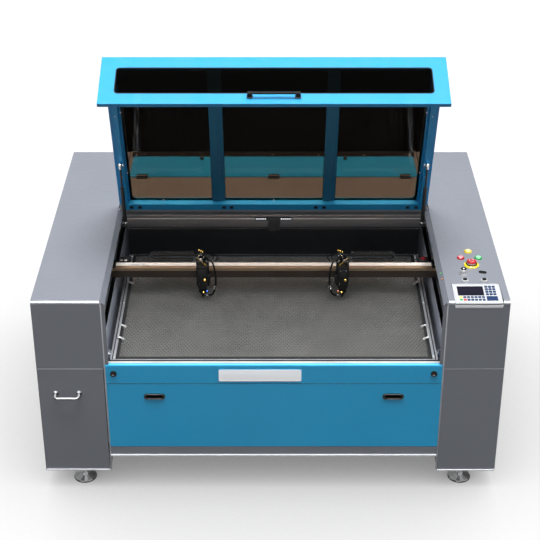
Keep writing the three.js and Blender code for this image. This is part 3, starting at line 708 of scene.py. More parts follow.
def lid_window_screws():
    inner = Piece("lid_window_screws_inner", "zinc_screw", "lid", LID)
    for x in (-465, -224, 15, 254, 494):
        inner.screw((x, -39, PANE_UNDERSIDE), 3.8, 2.2, "-Z")
    for x in (-609, 637):
        for y in (-208, -560):
            inner.screw((x, y, PANE_UNDERSIDE), 3.2, 2.0, "-Z")
    inner.done()


def lid_outer_screws():
    spots = []
    for x0, x1 in WINDOWS:
        spots += [(x0 + 20 + (x1 - x0 - 40) * k / 2, y, 0) for y in (-796, -41)
                  for k in range(3)]
        spots += [(x, y, 0) for x in (x0 - 6, x1 + 6) for y in (-600, -418, -230)]
    screw_piece("lid_window_screws_outer", "lid", spots, 3.2, 1.8, place=LID)


lid_window_screws()
# channel sections over the bars between the windows, in the darker blue of painted shade
for side, x0, x1 in (("left", -253, -195), ("right", 227, 281)):
    box_piece(f"lid_divider_{side}", "powder_blue_bar", "lid",
              [(x0 + 1, x1 - 1, -806, -37.6, -9.4, -6.6, 0.6),
               (x0 + 3, x1 - 20, -805, -38.5, -14.0, -9.2, 1.2)], "panel_blue", LID)
lid_outer_screws()
screw_piece("lid_hinge_bolts", "lid",
            [(x, -16, RIM_UNDERSIDE) for x in (-605, -568, -202, -169, 198, 234, 598, 635)],
            9.0, 2.2, "-Z", LID, "bolt_blue")
screw_piece("lid_rim_screws", "lid",
            [(x, y, RIM_UNDERSIDE) for x in (-630, 659) for y in (-120, -208, -560, -760)],
            2.6, 1.4, "-Z", LID)
box_piece("lid_handle_feet", "moulded_black", "lid",
          [(x - 12, x + 12, -855.0, -851.1, -237, -218, 1.2) for x in (-79, 106)], place=LID)
Piece("lid_front_window_trim", "rubber_black", "lid", LID).frame_ring(
    rounded_rect(-599.5, 628.5, -209, -61, 16), rounded_rect(-596.2, 625.2, -205.7, -64.3, 14),
    "Y", -851.6, -850.2).done()

# ------------------------------------------------------------------ gas struts
STUD_Y, STUD_Z, STUD_LENGTH = -290, -42, 11  # in the lid's frame
LOWER_BALL = [(0, -9.2), (4, -8.4), (7.2, -5.6), (9.0, -1.5), (9.2, 1.5), (8.2, 4.8),
              (6.4, 7.4), (6.0, 14), (0, 14)]
UPPER_BALL = [(0, 300), (6.0, 300), (6.2, 311), (8.4, 314), (9.4, 318), (9.2, 322),
              (7.4, 326), (4, 328.4), (0, 329)]
GLAND = [(4.9, 189), (8.9, 189), (8.9, 193), (8.2, 195.5), (4.9, 195.5)]
HEX_NUT = [(5.98, 0), (6.5, 0.6), (6.5, 3.4), (5.98, 4.0)]

for side, x in STRUTS:
    place = move(x, 64, 845) @ STRUT_LEAN
    lower, upper = side + "_strut_tube", side + "_strut_piston"
    Piece(side + "_strut_lower_ball", "chrome_plate", lower, place).turned(
        LOWER_BALL, sides=24).done(slot="chrome_trim")
    Piece(side + "_strut_upper_ball", "chrome_plate", upper, place).turned(
        UPPER_BALL, sides=24).done(slot="chrome_trim")
    Piece(side + "_strut_gland", "moulded_black", lower, place).ring(
        GLAND, sides=24).done(slot="bright_steel")
studs = Piece("strut_lid_studs", "zinc_screw", "lid", LID)
for x in (STRUTS[0][1], STRUTS[1][1] - STUD_LENGTH):
    studs.rod(4, STUD_LENGTH, (x, STUD_Y, STUD_Z), "X", 16)
for x in (-619.2, 644.2):
    studs.solid(HEX_NUT, (x, STUD_Y, STUD_Z), "X", 6)
studs.done()

# ------------------------------------------------------------------ front
# a white blank plate glowing with painted light
Piece("nameplate_blank", "nameplate_white", "access_panel").prism(
    rounded_rect(-204, 122, 530, 580, 4), "Y", -701.4, -FRONT_SEAT, 0.4).done()
Piece("nameplate_border", "satin_aluminium", "access_panel").frame_ring(
    rounded_rect(-206, 124, 528, 582, 5), rounded_rect(-204.2, 122.2, 529.8, 580.2, 4),
    "Y", -702.0, -FRONT_SEAT).done()


def lock_trim(side, x):
    """Bezel and face ring of a front lock, with a curved white crescent of painted highlight;
    heights run towards -Y.
    """
    centre = (x, LOCK_Z)
    Piece(side + "_lock_bezel", "pitch_black", "access_panel").ring(
        [(10.9, FRONT_SEAT), (13.2, FRONT_SEAT), (12.9, 703.6), (12.0, 704.6), (10.9, 704.6)],
        (x, 0, LOCK_Z), "-Y", 32).done()
    Piece(side + "_lock_face", "pitch_black", "lock_" + side).ring(
        [(5.4, 705.6), (7.8, 705.6), (7.8, 707.0), (6.6, 707.8), (5.4, 707.0)],
        (x, 0, LOCK_Z), "-Y").done()
    # a white crescent on the lock face: painted highlight
    slot_outline = (polar(centre, 4.9, range(200, 345, 12))
                    + polar(centre, 3.0, range(344, 196, -12)))
    Piece(side + "_lock_slot", "plate_white", "lock_" + side).prism(
        slot_outline, "Y", -707.3, -705.8).done()


for side, x in (("left", -626), ("right", 652)):
    lock_trim(side, x)
for side, x in (("left", -466), ("right", 494)):
    Piece(side + "_pull_rim", "moulded_black", "lower_door").frame_ring(
        rounded_rect(x - 42, x + 42, 454 - 12.5, 454 + 12.5, 12.4, 8),
        rounded_rect(x - 37, x + 37, 454 - 9, 454 + 9, 8.9, 8),
        "Y", -704.6, -703.2, bevel=0.4).done()

# a seal, and pale strips of painted highlight along the front's edges and seams; rows are x0, x1,
# y0, y1, z0, z1, bevel
box_piece("sill_seal", "rubber_black", "cabinet",
          [(-655, 684, -678.5, -670.2, 608.0, 609.6, 0.6)])
# glowing strip under the plinth: painted highlight
box_piece("plinth_edge", "bright_lip", "cabinet",
          [(-655.5, 684.5, -707.5, -FRONT_SEAT, 160.0, 167.0, 0.8)])
# pale strips on the wings' inner front edges: painted highlight
for side, x0, x1 in (("left", -661.8, -656.6), ("right", 685.6, 690.8)):
    box_piece(side + "_wing_front_edge", "bright_edge", "cabinet",
              [(x0, x1, -699.6, -690, 88, 889, 1.6)])
# glowing strip on the right wing's lower edge: painted highlight
box_piece("wing_bottom_edges", "bright_lip", "cabinet",
          [(691.5, 929.5, -705.5, -FRONT_SEAT, 84.6, 89.2, 0.8)])
# glowing strips on the drawer's lower edge and its top seam: painted highlight
box_piece("drawer_bottom_edge", "bright_lip", "drawer",
          [(-926.5, -665.5, -705.5, -FRONT_SEAT, 87.2, 92.0, 0.8),
           (-926.5, -665.5, -700.7, -FRONT_SEAT, 584.6, 586.3, 0.3)])
# pale line on the right wing's seam: painted highlight
box_piece("right_seam_edge", "bright_edge", "cabinet",
          [(692.5, 929, -700.6, -FRONT_SEAT, 584.6, 586.3, 0.3)])
roses = Piece("drawer_handle_roses", "satin_pull", "drawer")
for x in (-862, -768):
    roses.ring([(6.7, FRONT_SEAT), (11.0, FRONT_SEAT), (11.2, 703), (9.6, 707), (7.2, 709.6),
                (6.7, 709.6)], (x, 0, 470), "-Y")
roses.done(slot="chrome_trim")
hinge = Piece("door_piano_hinge", "powder_charcoal", "cabinet")
for k in range(22):
    hinge.rod(2.4, 58, (-650 + k * 60.3, -696, 513.7), "X", 10)
hinge.done()

# ------------------------------------------------------------------ wing sides and rear
SIDE_PLATE_OUT = 1.4   # how far a side plate stands out of the wing
SIDE_SCREW = [(5.0, -0.6), (5.2, 0.6), (4.2, 1.8), (2.4, 2.2), (2.2, 1.2)]


def wing_side(side, outward):
    x = outward * WING_SIDE
    plate_x0, plate_x1 = sorted((x + outward * SIDE_PLATE_OUT, x - outward * 0.3))
    Piece(side + "_side_plate", "powder_grey", "cabinet").prism(
        rounded_rect(-560, 560, 190, 560, 8), "X", plate_x0, plate_x1, 0.4
    ).done(slot="cabinet_grey")
    piece = Piece(side + "_side_plate_screws", "zinc_screw", "cabinet")
    for y in (-540, -180, 180, 540):
        for z in (208, 542):
            piece.solid(SIDE_SCREW, (x + outward * SIDE_PLATE_OUT, y, z), (outward, 0, 0), 20)
    piece.done()
    vent_x0, vent_x1 = sorted((x + outward * 1.0, x + outward * 3.4))
    box_piece(side + "_side_vents", "powder_charcoal", "cabinet",
              [(vent_x0, vent_x1, y, y + 14, 400, 510, 1.1) for y in range(250, 458, 26)])


wing_side("left", -1)
wing_side("right", 1)
box_piece("rear_power_inlet", "moulded_black", "cabinet",
          [(380, 450, 699.8, 704, 250, 340, 1.5), (392, 438, 703.5, 708, 258, 292, 2),
           (398, 432, 703.5, 710, 302, 332, 2.5)])
Piece("rear_power_switch", "button_red", "cabinet").prism(
    [(703.6, 304), (711.5, 306), (709, 317), (712.8, 330), (703.6, 330)],
    "X", 402, 428, 0.6).done()
ports = Piece("rear_ports", "moulded_black", "cabinet")
for x in (500, 545, 590):
    ports.solid([(14, 699.8), (14, 704), (12, 706), (9, 706), (8.4, 702.5)],
                (x, 0, 300), "Y", 24)
ports.done()
Piece("rear_data_plate_blank", "satin_aluminium", "cabinet").prism(
    rounded_rect(380, 500, 380, 450, 3), "Y", 699.9, 701.2, 0.3).done()
rear_screws = Piece("rear_panel_screws", "zinc_screw", "cabinet")
for x in (-640, -340, -40, 260, 560, 670):
    for z in (190, 862):
        rear_screws.screw((x, 700, z), 4.0, 2.2, "Y")
for x, z in polar((DUCT_X, DUCT_Z), 84, [45 * k + 22.5 for k in range(8)]):
    rear_screws.screw((x, 703, z), 3.6, 2.0, "Y")
rear_screws.done()
Piece("duct_clamp_band", "turned_steel", "cabinet").ring(
    [(75.2, 724), (77.4, 724), (77.4, 736), (75.2, 736)],
    (DUCT_X, 0, DUCT_Z), "Y", 48).done(slot="bright_steel")


def duct_fan_grille():
    """Three rings, four crossing bars and a hub."""
    wire = 1.4  # half width
    piece = Piece("duct_fan_grille", "moulded_black", "cabinet")
    for radius in (22, 42, 62):
        inner, outer = radius - wire, radius + wire
        piece.ring([(inner, 706), (outer, 706), (outer, 709), (inner, 709)],
                   (DUCT_X, 0, DUCT_Z), "Y", 40)
    for k in range(4):
        turn = Matrix.Rotation(math.radians(45 * k + 10), 4, "Y")
        piece.box(-71, 71, -wire, wire, -wire, wire, 0.4,
                  place=move(DUCT_X, 707.5, DUCT_Z) @ turn)
    piece.turned([(0, 704), (11, 704), (12, 706), (11, 709.5), (0, 710)],
                 (DUCT_X, 0, DUCT_Z), "Y", 24)
    piece.done()


duct_fan_grille()
pads = Piece("foot_pads", "rubber_black", "cabinet")
for x in (-780.0, 796.0):
    for y in (-630.0, 630.0):
        pads.ring([(FOOT_RADIUS - 0.5, 0.2), (FOOT_RADIUS + 1.0, 0.2), (FOOT_RADIUS + 1.2, 1.0),
                   (FOOT_RADIUS + 1.2, 3.6), (FOOT_RADIUS + 0.6, 4.4),
                   (FOOT_RADIUS - 0.5, 4.4)], (x, y, 0), sides=36)
pads.done()

# ------------------------------------------------------------------ rear deck and lid hinge
cover_hinges = Piece("tube_cover_hinges", "moulded_black", "cabinet")
for x in (-584.5, 16.5, 615):
    cover_hinges.box(x - 26, x + 26, 399, 424, 896.2, 899.0, 1.0)
    cover_hinges.rod(4.2, 50, (x - 25, 421, 902.0), "X", 16)
    cover_hinges.box(x - 24, x + 24, 419, 440, 900.0, 902.0, 0.8)
cover_hinges.done()
screw_piece("deck_screws", "cabinet",
            [(-630 + k * 214, y, 896) for k in range(7) for y in (150, 660)], 4.0, 2.0)
knobs = Piece("tube_cover_knobs", "moulded_black", "tube_bay_cover")
for x in (-320, 350):
    knobs.solid([(9, 899.2), (8, 903), (6, 906), (10, 911), (10, 915), (8, 917)],
                (x, 605, 0), sides=24)
knobs.done()
box_piece("rear_deck_mat", "pitch_black", "cabinet", [(-650, 679, 638, 698, 895.9, 897.0, 0.4)])
caps = Piece("hinge_pin_caps", "zinc_screw", "cabinet")
for x in (-586, -186, 216, 616):
    for outward in (-1, 1):
        caps.turned([(0, 0), (5.2, 0), (5.6, 1), (5.0, 2.6), (0, 3.2)],
                    (x + outward * 45, HINGE_Y, HINGE_Z), (outward, 0, 0), 18)
caps.done()

# front face of the rear housing: trim lines, a dark sheet of painted shade, pale lines of painted
# highlight, centre bracket and slotted light plates
box_piece("rear_ledge_trim", "moulded_black", "cabinet",
          [(-656, 685, 92.6, 95.2, 855.5, 860.5, 0.6),
           (-656, 685, 92.6, 95.2, 806.0, 809.0, 0.6)])
# a dark sheet over the front of the ledge: painted shade
box_piece("rear_ledge_band", "ledge_charcoal", "cabinet",
          [(-652, 681, 92.2, 94.9, 809.4, 847.0, 0.5)])
# pale lines along the ledge: painted highlight
box_piece("rear_ledge_line", "bright_edge", "cabinet",
          [(-650, -70, 91.6, 95.2, 848.0, 850.4, 0.8),
           (98, 679, 91.6, 95.2, 848.0, 850.4, 0.8)])
Piece("rear_centre_bracket", "moulded_black", "cabinet").prism(
    rounded_rect(-9, 42, 793, 857, 4), "Y", 84.0, 89.0, 0.6).box(
    0, 33, 86, 95.2, 806, 840, 1.0).done()
box_piece("rear_slot_plates", "anodised_black", "cabinet",
          [(-66, -9, 90.5, 94.9, 844.6, 855.4, 0.8), (42, 93, 90.5, 94.9, 844.6, 855.4, 0.8)])
box_piece("rear_slot_lights", "led_white", "cabinet",
          [(x0 + k * 9.2, x0 + k * 9.2 + 6.2, 89.6, 91.0, 847.6, 852.6, 0.6)
           for x0 in (-62, 46) for k in range(5)])

# ------------------------------------------------------------------ gantry
BEAM_X0, BEAM_X1, BEAM_TOP = -688, 717, 735.0

# cream top rail with a painted glow
box_piece("beam_top_rail", "beam_cream", "gantry",
          [(BEAM_X0, BEAM_X1, -126, -101, BEAM_TOP, 738.0, 0.7)], "aluminium")
box_piece("beam_belt", "beam_tan", "gantry",
          [(BEAM_X0, BEAM_X1, -144.6, -127.0, BEAM_TOP, 736.6, 0.5),
           (BEAM_X0, BEAM_X1, -146.2, -144.0, 722.0, 735.6, 0.5)], "beam_aluminium")
box_piece("beam_end_caps", "anodised_black", "gantry",
          [(x0, x1, -146, -98, BEAM_TOP, 752, 2.0) for x0, x1 in ((-686, -660), (689, 715))])
box_piece("beam_end_motors", "moulded_black", "gantry",
          [(x0, x1, -94, -55, 700, 742, 3.0) for x0, x1 in ((-650, -608), (637, 679))])


def drag_chain(name, start_x, bend_x, end_x, sweep):
    """Notched links along a flat run, a half-turn bend swept by an angle, and a run back."""
    y, top_z, bend_radius = -84, 776, 16
    bend_z = top_z - bend_radius
    half_width, half_height, link_pitch = 7.5, 5, 11.0
    bend = polar((bend_x, bend_z), bend_radius, [90 + sweep * k / 8 for k in range(9)])
    outline = ([(start_x, top_z), (bend_x, top_z)] + bend + [(end_x, bend_z - bend_radius)])
    path = [Vector((x, y, z)) for x, z in outline]
    reached = [0.0]
    for near, far in zip(path, path[1:]):
        reached.append(reached[-1] + (far - near).length)
    count = int(reached[-1] / link_pitch)
    length = reached[-1] / count
    piece = Piece(name, "moulded_black", "gantry")
    for i in range(count):
        distance = (i + 0.5) * reached[-1] / count
        k = max(j for j in range(len(reached)) if reached[j] <= distance)
        ahead = (path[k + 1] - path[k]).normalized()
        centre = path[k] + ahead * (distance - reached[k])
        up = ahead.cross(Vector((0, 1, 0))).normalized()
        side = up.cross(ahead).normalized()
        place = Matrix(((ahead.x, side.x, up.x, centre.x), (ahead.y, side.y, up.y, centre.y),
                        (ahead.z, side.z, up.z, centre.z), (0, 0, 0, 1)))
        # side cheeks, then the narrower bars above and below
        for y0, y1 in ((-half_width, -half_width + 2.2), (half_width - 2.2, half_width)):
            piece.box(-length * 0.46, length * 0.46, y0, y1, -half_height, half_height, 0.6,
                      place=place)
        for z0, z1 in ((half_height - 2.0, half_height), (-half_height, -half_height + 2.0)):
            piece.box(-length * 0.30, length * 0.30, -half_width + 1, half_width - 1, z0, z1,
                      0.5, place=place)
    piece.done()


drag_chain("cable_chain_left", start_x=-325, bend_x=-500, end_x=-330, sweep=180)
drag_chain("cable_chain_right", start_x=344, bend_x=519, end_x=350, sweep=-180)
box_piece("beam_small_labels", "plate_white", "gantry",
          [(-610, -560, -126, -112, 738.0, 739.2, 0.4),
           (-548, -520, -126, -114, 738.0, 739.2, 0.4)])
box_piece("right_motor_plug", "button_red", "gantry", [(649, 668, -86, -72, 741.8, 750.5, 1.6)])
box_piece("left_motor_labels", "plate_white", "gantry",
          [(-646, -634, -94, -82, 741.9, 742.8, 0.3),
           (-628, -616, -94, -82, 741.9, 742.8, 0.3)])

# ------------------------------------------------------------------ laser heads
# profiles: (radius, height)
LARGE_KNOB = [(3.2, 0), (3.8, 1), (3.8, 4), (3.0, 5.2)]
SMALL_KNOB = [(2.6, 0), (3.0, 1), (3.0, 4), (2.2, 5)]
FRONT_KNOB = [(5.2, 0), (5.8, 1.4), (5.8, 4), (4.6, 5.2)]
MIRROR_CUP = [(11, 0), (11.6, 1.2), (11.6, 3.6), (9.0, 4.4), (8.6, 2.6)]
MIRROR_CAP = [(9, 0), (9.6, 1.2), (9.6, 3.6), (8, 4.4)]
NOZZLE_COLLAR = [(14.1, 648), (17.2, 648), (17.8, 649), (17.8, 655), (17.2, 656), (14.1, 656)]
NOZZLE_TIP = [(2.6, 619.6), (3.2, 620.6), (3.2, 622)]
NOZZLE_SCREW = [(4.2, 0), (4.8, 0.8), (4.8, 3.2), (3.8, 4.2)]
HOSE_FITTING = [(3.4, 0), (3.4, 5), (4.4, 5.4), (4.4, 9), (3.2, 9.6)]
HOSE_CONNECTOR = [(4.6, 0), (5.2, 0.8), (5.2, 5), (4.4, 6), (4.4, 12), (5.2, 12.6), (5.2, 16),
                  (4.4, 17)]
SILVER_ADJUSTER = [(2.6, -1), (3.0, 0.8), (3.0, 9), (2.2, 10)]
GOLD_ADJUSTER = [(2.4, -1), (2.8, 0.8), (2.8, 11), (2.2, 12)]
POINTER = [(4, 0), (4.4, 1), (4.4, 9), (3.4, 10.5)]
# curve points: inward reach from the head's x, y, z
HOSE_PATH = [(6, -168, 781), (12, -172, 798), (28, -184, 802), (45, -196, 786),
             (54, -204, 752), (57, -208, 712), (54, -208, 676), (42, -204, 642),
             (24, -196, 631)]
THICK_CABLE_PATH = [(12, -166, 781), (20, -160, 800), (38, -146, 803), (58, -126, 784),
                    (62, -108, 762), (52, -101, 748)]
THIN_CABLE_PATH = [(2, -150, 781), (10, -146, 794), (26, -132, 796), (44, -112, 776),
                   (42, -103, 756)]


def laser_head(side, x, inward):
    body, lens = "head_" + side, "lens_" + side
    forward = (0, -1, 0)
    adjuster_lean = (-inward * 0.45, -0.30, 0.84)

    def part(name, material, carrier=body):
        return Piece(f"{side}_{name}", material, carrier)

    def run(path):
        return [(x + inward * reach, y, z) for reach, y, z in path]

    (part("head_mirror_knobs", "gold_anodise")
     .solid(LARGE_KNOB, (x - 9, -112, 798), sides=24)
     .solid(SMALL_KNOB, (x - 17, -104, 798), sides=20)
     .solid(SMALL_KNOB, (x - 1, -122, 798), sides=20)
     .solid(FRONT_KNOB, (x + 10, -215, 716), forward, 24).done())
    (part("head_mirror_frame", "chrome_plate")
     .solid(MIRROR_CUP, (x - 9, -128, 781), forward)
     .solid(MIRROR_CAP, (x + 14, -150, 770)).done(slot="chrome_trim"))
    part("head_front_cover", "anodised_black").box(
        x - 18, x + 18, -215.5, -211.8, 690, 764, 1.4).done(slot="anodised_black")
    cover_screws = part("head_cover_screws", "gloss_black")
    for half_span, y, heights in ((13, -215.5, (696, 758)), (22, -168, (668, 700, 740, 774))):
        for offset in (-half_span, half_span):
            for z in heights:
                cover_screws.screw((x + offset, y, z), 2.6, 1.6, "-Y", sides=14)
    cover_screws.done()
    (part("head_air_elbow", "anodised_black")
     .solid([(5.2, 0), (5.2, 9), (4, 11)], (x + inward * 24, -180, 679.5), sides=20)
     .turned([(0, 0), (4.2, 0), (4.2, 7), (0, 8)], (x + inward * 24, -180, 730), sides=20)
     .done())
    (part("nozzle_collar", "anodised_black", lens)
     .ring(NOZZLE_COLLAR, (x, -190, 0), sides=32)
     .solid(NOZZLE_TIP, (x, -190, 0), sides=16).done())
    part("nozzle_screw", "gold_anodise", lens).solid(
        NOZZLE_SCREW, (x + inward * 4, -206.5, 651.5), forward, 20).done()
    part("head_hose", "cable_jacket").tube(
        run(HOSE_PATH), radius=3.8, sides=12, steps=6).done()
    (part("head_cables", "cable_jacket")
     .tube(run(THICK_CABLE_PATH), radius=2.6, sides=10, steps=6)
     .tube(run(THIN_CABLE_PATH), radius=2.2, sides=10, steps=6).done())
    part("hose_fitting", "turned_steel").solid(
        HOSE_FITTING, (x + inward * 14.5, -192, 630), (inward, -0.25, 0.1), 18
    ).done(slot="bright_steel")
    part("hose_connector", "bright_plate").solid(
        HOSE_CONNECTOR, (x + inward * 50, -207, 668), (inward * 0.35, 0, 1), 20
    ).done(slot="chrome_trim")
    silver = part("head_silver_adjusters", "bright_plate")
    for reach, y in ((-11.5, -156.5), (-2.0, -167.0), (20.0, -171.0)):
        silver.solid(SILVER_ADJUSTER, (x + inward * reach, y, 779.5), adjuster_lean, 16)
    silver.done(slot="chrome_trim")
    gold = part("head_gold_adjusters", "gold_anodise")
    for k in range(4):
        gold.solid(GOLD_ADJUSTER, (x - inward * 17 + inward * k * 11.0, -148 - k * 17.0,
                                   780 - (2 if k > 1 else 0)), adjuster_lean, 16)
    gold.done()
    part("head_pointer", "orange_tube" if side == "right" else "blue_anodise").solid(
        POINTER, (x + inward * 19, -203, 660), (0, -0.5, -0.87), 20).done()


for head in HEADS:
    laser_head(*head)

# ------------------------------------------------------------------ sloping wing lips
for colour_name, y in (("green", -467), ("orange", -513)):
    spot, slope = (685.2, y, 890.2), (-0.69, 0, 0.72)
    name = "status_lamp_" + colour_name
    Piece(name, "led_" + colour_name, "cabinet").turned(
        [(0, -0.5), (2.8, -0.5), (2.8, 1.0), (2.2, 2.2), (1.0, 2.8), (0, 2.9)],
        spot, slope, 20).done()
    Piece(name + "_rim", "moulded_black", "cabinet").ring(
        [(3.0, -0.5), (4.6, -0.5), (4.4, 1.2), (3.6, 1.5), (3.0, 1.3)],
        spot, slope, 20).done()
lip_screws = Piece("wing_lip_screws", "powder_grey", "cabinet")
for x, inward in ((-653, 1), (682, -1)):
    for y in (-600, -300, 0):
        lip_screws.screw((x, y, 887.3), 3.0, 1.6, (inward * 0.69, 0, 0.72))
lip_screws.done()

# ------------------------------------------------------------------ control cluster
for colour_name, x, y in BUTTONS:
    name = "button_" + colour_name
    Piece(colour_name + "_button_ring", name, "cabinet").ring(
        [(12.9, CLUSTER_SEAT), (15.6, CLUSTER_SEAT), (15.6, 898.6), (14.4, 900.6),
         (12.9, 900.6)], (x, y, 0), sides=36).done(slot=name)
    Piece(colour_name + "_button_lens", "lens_" + colour_name, name).turned(
        [(0, 901.8), (10.4, 901.6), (10.2, 902.8), (6, 903.7), (0, 903.9)],
        (x, y, 0), sides=32).done(slot=name)
# white skirt under the mushroom: painted light on its underside
Piece("estop_skirt", "nameplate_white", "emergency_stop").ring(
    [(12.1, 906.2), (17.6, 906.2), (18.6, 909.0), (12.1, 908.6)],
    (ESTOP_X, ESTOP_Y, 0), sides=36).done()
# dark ring on the collar round the mushroom: painted shadow
Piece("estop_dark_ring", "pitch_black", "cabinet").ring(
    [(19.6, 901.7), (23.6, 901.7), (22.6, 904.8), (19.6, 904.8)],
    (ESTOP_X, ESTOP_Y, 0), sides=36).done()
turn_mark = Piece("estop_turn_mark", "plate_white", "emergency_stop")
for start in (20, 140, 260):
    turn_mark.prism(polar((ESTOP_X, ESTOP_Y), 8.0, range(start, start + 70, 10))
                    + polar((ESTOP_X, ESTOP_Y), 10.0, range(start + 60, start - 10, -10)),
                    "Z", 917.8, 919.0)
turn_mark.done()
Piece("key_switch_barrel", "bright_plate", "cabinet").ring(
    [(10.1, CLUSTER_SEAT), (16.0, CLUSTER_SEAT), (16.2, 899), (14.6, 902.5), (10.1, 904.4)],
    (KEY_X, KEY_Y, 0), sides=36).done(slot="chrome_trim")
Piece("key_switch_cap", "pitch_black", "key").turned(
    [(0, 919.6), (12.2, 919.6), (12.4, 921.2), (11.0, 922.4), (0, 922.6)],
    (KEY_X, KEY_Y, 0), sides=32).done()
Piece("key_switch_pointer", "plate_white", "key").prism(
    [(KEY_X - 3.5, KEY_Y - 6), (KEY_X + 3.5, KEY_Y - 6), (KEY_X, KEY_Y + 4)],
    "Z", 922.3, 923.6, 0.2).done()
port_place = move(851, -469, 0) @ Matrix.Rotation(math.radians(-18), 4, "Z")
port_hole = rounded_rect(-12.5, 12.5, -5.6, 5.6, 5.4, 8)
Piece("oval_port", "pitch_black", "cabinet", port_place).frame_ring(
    rounded_rect(-16, 16, -9, 9, 8.8, 8), port_hole, "Z", CLUSTER_SEAT, 898.6, bevel=0.5).prism(
    port_hole, "Z", 895.9, 896.9, 0.2).done()
socket_rings = Piece("socket_rings", "bright_plate", "cabinet")
for x in (771.5, 848):
    socket_rings.ring([(7.4, CLUSTER_SEAT), (13.4, CLUSTER_SEAT), (13.4, 901.8),
                       (12.0, 904.0), (7.4, 904.0)], (x, -539, 0), sides=32)
socket_rings.done(slot="chrome_trim")
socket_cores = Piece("socket_cores", "pitch_black", "cabinet")
for x in (771.5, 848):
    socket_cores.turned([(0, CLUSTER_SEAT), (7.2, CLUSTER_SEAT), (7.2, 904.6), (9.4, 904.9),
                         (8.8, 906.2), (0, 906.6)], (x, -539, 0))
socket_cores.done()
# a pale bent strip under the control panel's front: painted highlight on the bend
Piece("controller_flange_edge", "bright_edge", "cabinet").prism(
    [(-700.9, 867.5), (-700.9, 871.8), (-698.2, 878.7), (-690.3, 882.4), (-690.0, 881.2),
     (-697.2, 877.6), (-699.6, 871.3), (-699.6, 867.5)], "X", 717.5, 901.5).done()
Piece("bezel_face_step", "bezel_groove", "cabinet", PANEL).frame_ring(
    rounded_rect(719.5, 899.5, -132.5, -3, 3.5), rounded_rect(721.5, 897.5, -130.5, -5, 3),
    "Z", 5.3, 6.4).done()


def keys(name, material, cells):
    """Keys with a sloped top edge, in the panel's frame; cells are x0, x1, y0, y1."""
    slope = 0.8
    piece = Piece(name, material, "cabinet", PANEL)
    for x0, x1, y0, y1 in cells:
        bm = bmesh.new()
        base = rounded_rect(x0, x1, y0, y1, 1.6, 3)
        crown = rounded_rect(x0 + slope, x1 - slope, y0 + slope, y1 - slope, 1.2, 3)
        foot, shoulder, top = ([bm.verts.new((x, y, z)) for x, y in outline]
                               for outline, z in ((base, 5.2), (base, 6.7), (crown, 7.5)))
        bm.faces.new(foot)
        bm.faces.new(top)
        band(bm, foot, shoulder)
        band(bm, shoulder, top)
        piece.add(bm)
    piece.done()


KEY_PITCH, KEY_ROW_PITCH = 14.6, 17.2
keys("keypad_navy", "key_navy",
     [(842 + i * KEY_PITCH, 854.2 + i * KEY_PITCH,
       -28 - j * KEY_ROW_PITCH, -15.6 - j * KEY_ROW_PITCH) for i in range(3) for j in range(4)])
keys("keypad_enter", "key_navy", [(842, 885.5, -116.5, -87)])
# two rows of seven soft keys below the screen
upper_keys, lower_keys = ([(737 + i * KEY_PITCH, 748.6 + i * KEY_PITCH, y0, y1)
                           for i in range(7)] for y0, y1 in ((-98.5, -87), (-116.5, -104.5)))
keys("softkeys_navy", "key_navy", upper_keys[1:] + lower_keys[2:])
keys("softkey_yellow", "button_yellow", upper_keys[:1])
keys("softkey_green", "button_green", lower_keys[:1])
keys("softkey_red", "button_red", lower_keys[1:2])

# ------------------------------------------------------------------ inside the cabinet
for side, x0, x1 in (("left", -720, -713), ("right", 742, 749)):
    box_piece(side + "_y_belt", "rubber_black", "cabinet",
              [(x0, x1, -640, 350, 656.5, 658.5, 0.4)])
loom = Piece("interior_wire_loom", "pitch_black", "cabinet")
for stations in ((-630, -400, -150, -20), (660, 430, 180, 60)):
    sag = ((88, 802), (87.5, 801.5), (88, 802), (88, 802))  # y, z at each x
    loom.tube([(x, y, z) for x, (y, z) in zip(stations, sag)], radius=3.0, sides=10, steps=8)
loom.done()


# ------------------------------------------------------------------ stage, in metres
def floor_material():
    """White glowing floor, darkened near the machine by ambient occlusion."""
    material = bpy.data.materials.new("pale_floor")
    node = partial(add_node, clear_tree(material))
    occlusion = node("AmbientOcclusion", {"Distance": 2.0}, samples=12).outputs["AO"]
    glow = remap(node, occlusion, source=(0.05, 0.97), target=(0.20, 1.0))
    diffuse = node("BsdfDiffuse", {"Color": (0.04, 0.04, 0.04, 1)})
    emission = node("Emission", {"Color": (1, 1, 1, 1), "Strength": glow})
    node("OutputMaterial", {0: node("AddShader", {0: diffuse, 1: emission})})
    return material


def build_floor():
    mesh = bpy.data.meshes.new("floor")
    bm = bmesh.new()
    bmesh.ops.create_grid(bm, x_segments=4, y_segments=4, size=30.0)
    bm.to_mesh(mesh)
    bm.free()
    floor = link_object("floor", mesh)
    mesh.materials.append(floor_material())
    floor.visible_diffuse = False
    floor.visible_transmission = False


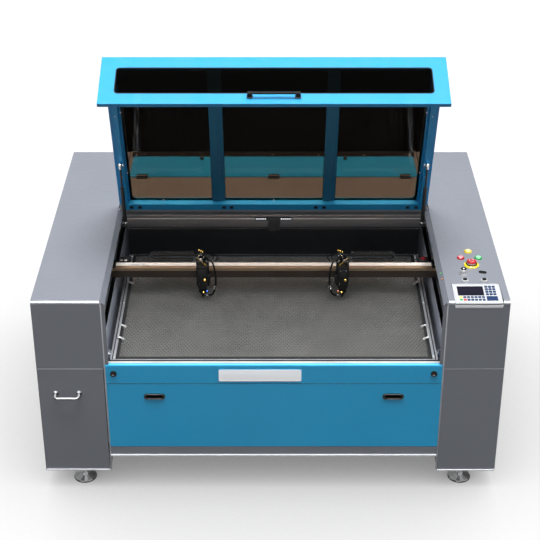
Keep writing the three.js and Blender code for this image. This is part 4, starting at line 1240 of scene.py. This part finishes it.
def build_world():
    """Sky brighter upwards; white to the camera, near black through the windows."""
    world = bpy.data.worlds.new("studio")
    bpy.context.scene.world = world
    node = partial(add_node, clear_tree(world))
    rays = node("LightPath").outputs
    is_glossy = rays["Is Glossy Ray"]
    height = node("SeparateXYZ", {0: node("TexCoord").outputs["Generated"]}).outputs["Z"]
    gradient = remap(node, height, source=(-0.3, 0.9), target=(0.045, 0.42))
    # reflections see the sky 2.2 times as bright, but nearly dark below the horizon band
    gain = node("Math", {0: is_glossy, 1: 1.2, 2: 1.0}, operation="MULTIPLY_ADD")
    gained = node("Math", {0: gain, 1: gradient}, operation="MULTIPLY")
    horizon = remap(node, height, source=(0.06, 0.30), target=(0.05, 1.0),
                    interpolation_type="SMOOTHSTEP")
    dimming = node("Mix", {"Factor": is_glossy, "A": 1.0, "B": horizon}, data_type="FLOAT")
    strength = node("Math", {0: gained, 1: dimming.outputs["Result"]}, operation="MULTIPLY")
    sky = node("Background", {"Color": (0.97, 0.985, 1.0, 1), "Strength": strength})
    white = node("Background", {"Color": (1, 1, 1, 1), "Strength": 1.0})
    black = node("Background", {"Color": (0.004, 0.004, 0.004, 1)})
    unseen = node("MixShader", {0: rays["Is Transmission Ray"], 1: sky, 2: black})
    node("OutputWorld", {0: node("MixShader", {0: rays["Is Camera Ray"], 1: unseen, 2: white})})


def sun(name, direction, strength, degrees):
    """A sun shining from the given direction, as wide as the given angle."""
    light = bpy.data.lights.new(name, "SUN")
    light.energy = strength
    light.angle = math.radians(degrees)
    item = link_object(name, light)
    item.rotation_euler = Vector(direction).to_track_quat("Z", "Y").to_euler()
    return item


def build_camera():
    camera = bpy.data.cameras.new("photo_camera")
    camera.sensor_fit = "HORIZONTAL"
    camera.sensor_width = 36.0
    camera.lens = 93.1698
    camera.shift_x = -0.000648148148
    camera.shift_y = 0.0170185185
    camera.clip_start = 0.1
    camera.clip_end = 200.0
    item = link_object("photo_camera", camera)
    item.location = (0.0, -5.353129, 3.641834)
    item.rotation_euler = (math.radians(60.3786), 0.0, 0.0)
    bpy.context.scene.camera = item


build_floor()
build_world()
sun("key_top", direction=(0.03, -0.05, 0.99), strength=5.2, degrees=34)
strip = sun("soft_strip", direction=(0.0, -0.46, 0.84), strength=15.0, degrees=44)
strip.visible_diffuse = False
build_camera()

view = bpy.context.scene.view_settings
view.view_transform = "Standard"
view.look = "None"
view.exposure = 0.0
view.gamma = 1.0

bpy.context.view_layer.update()
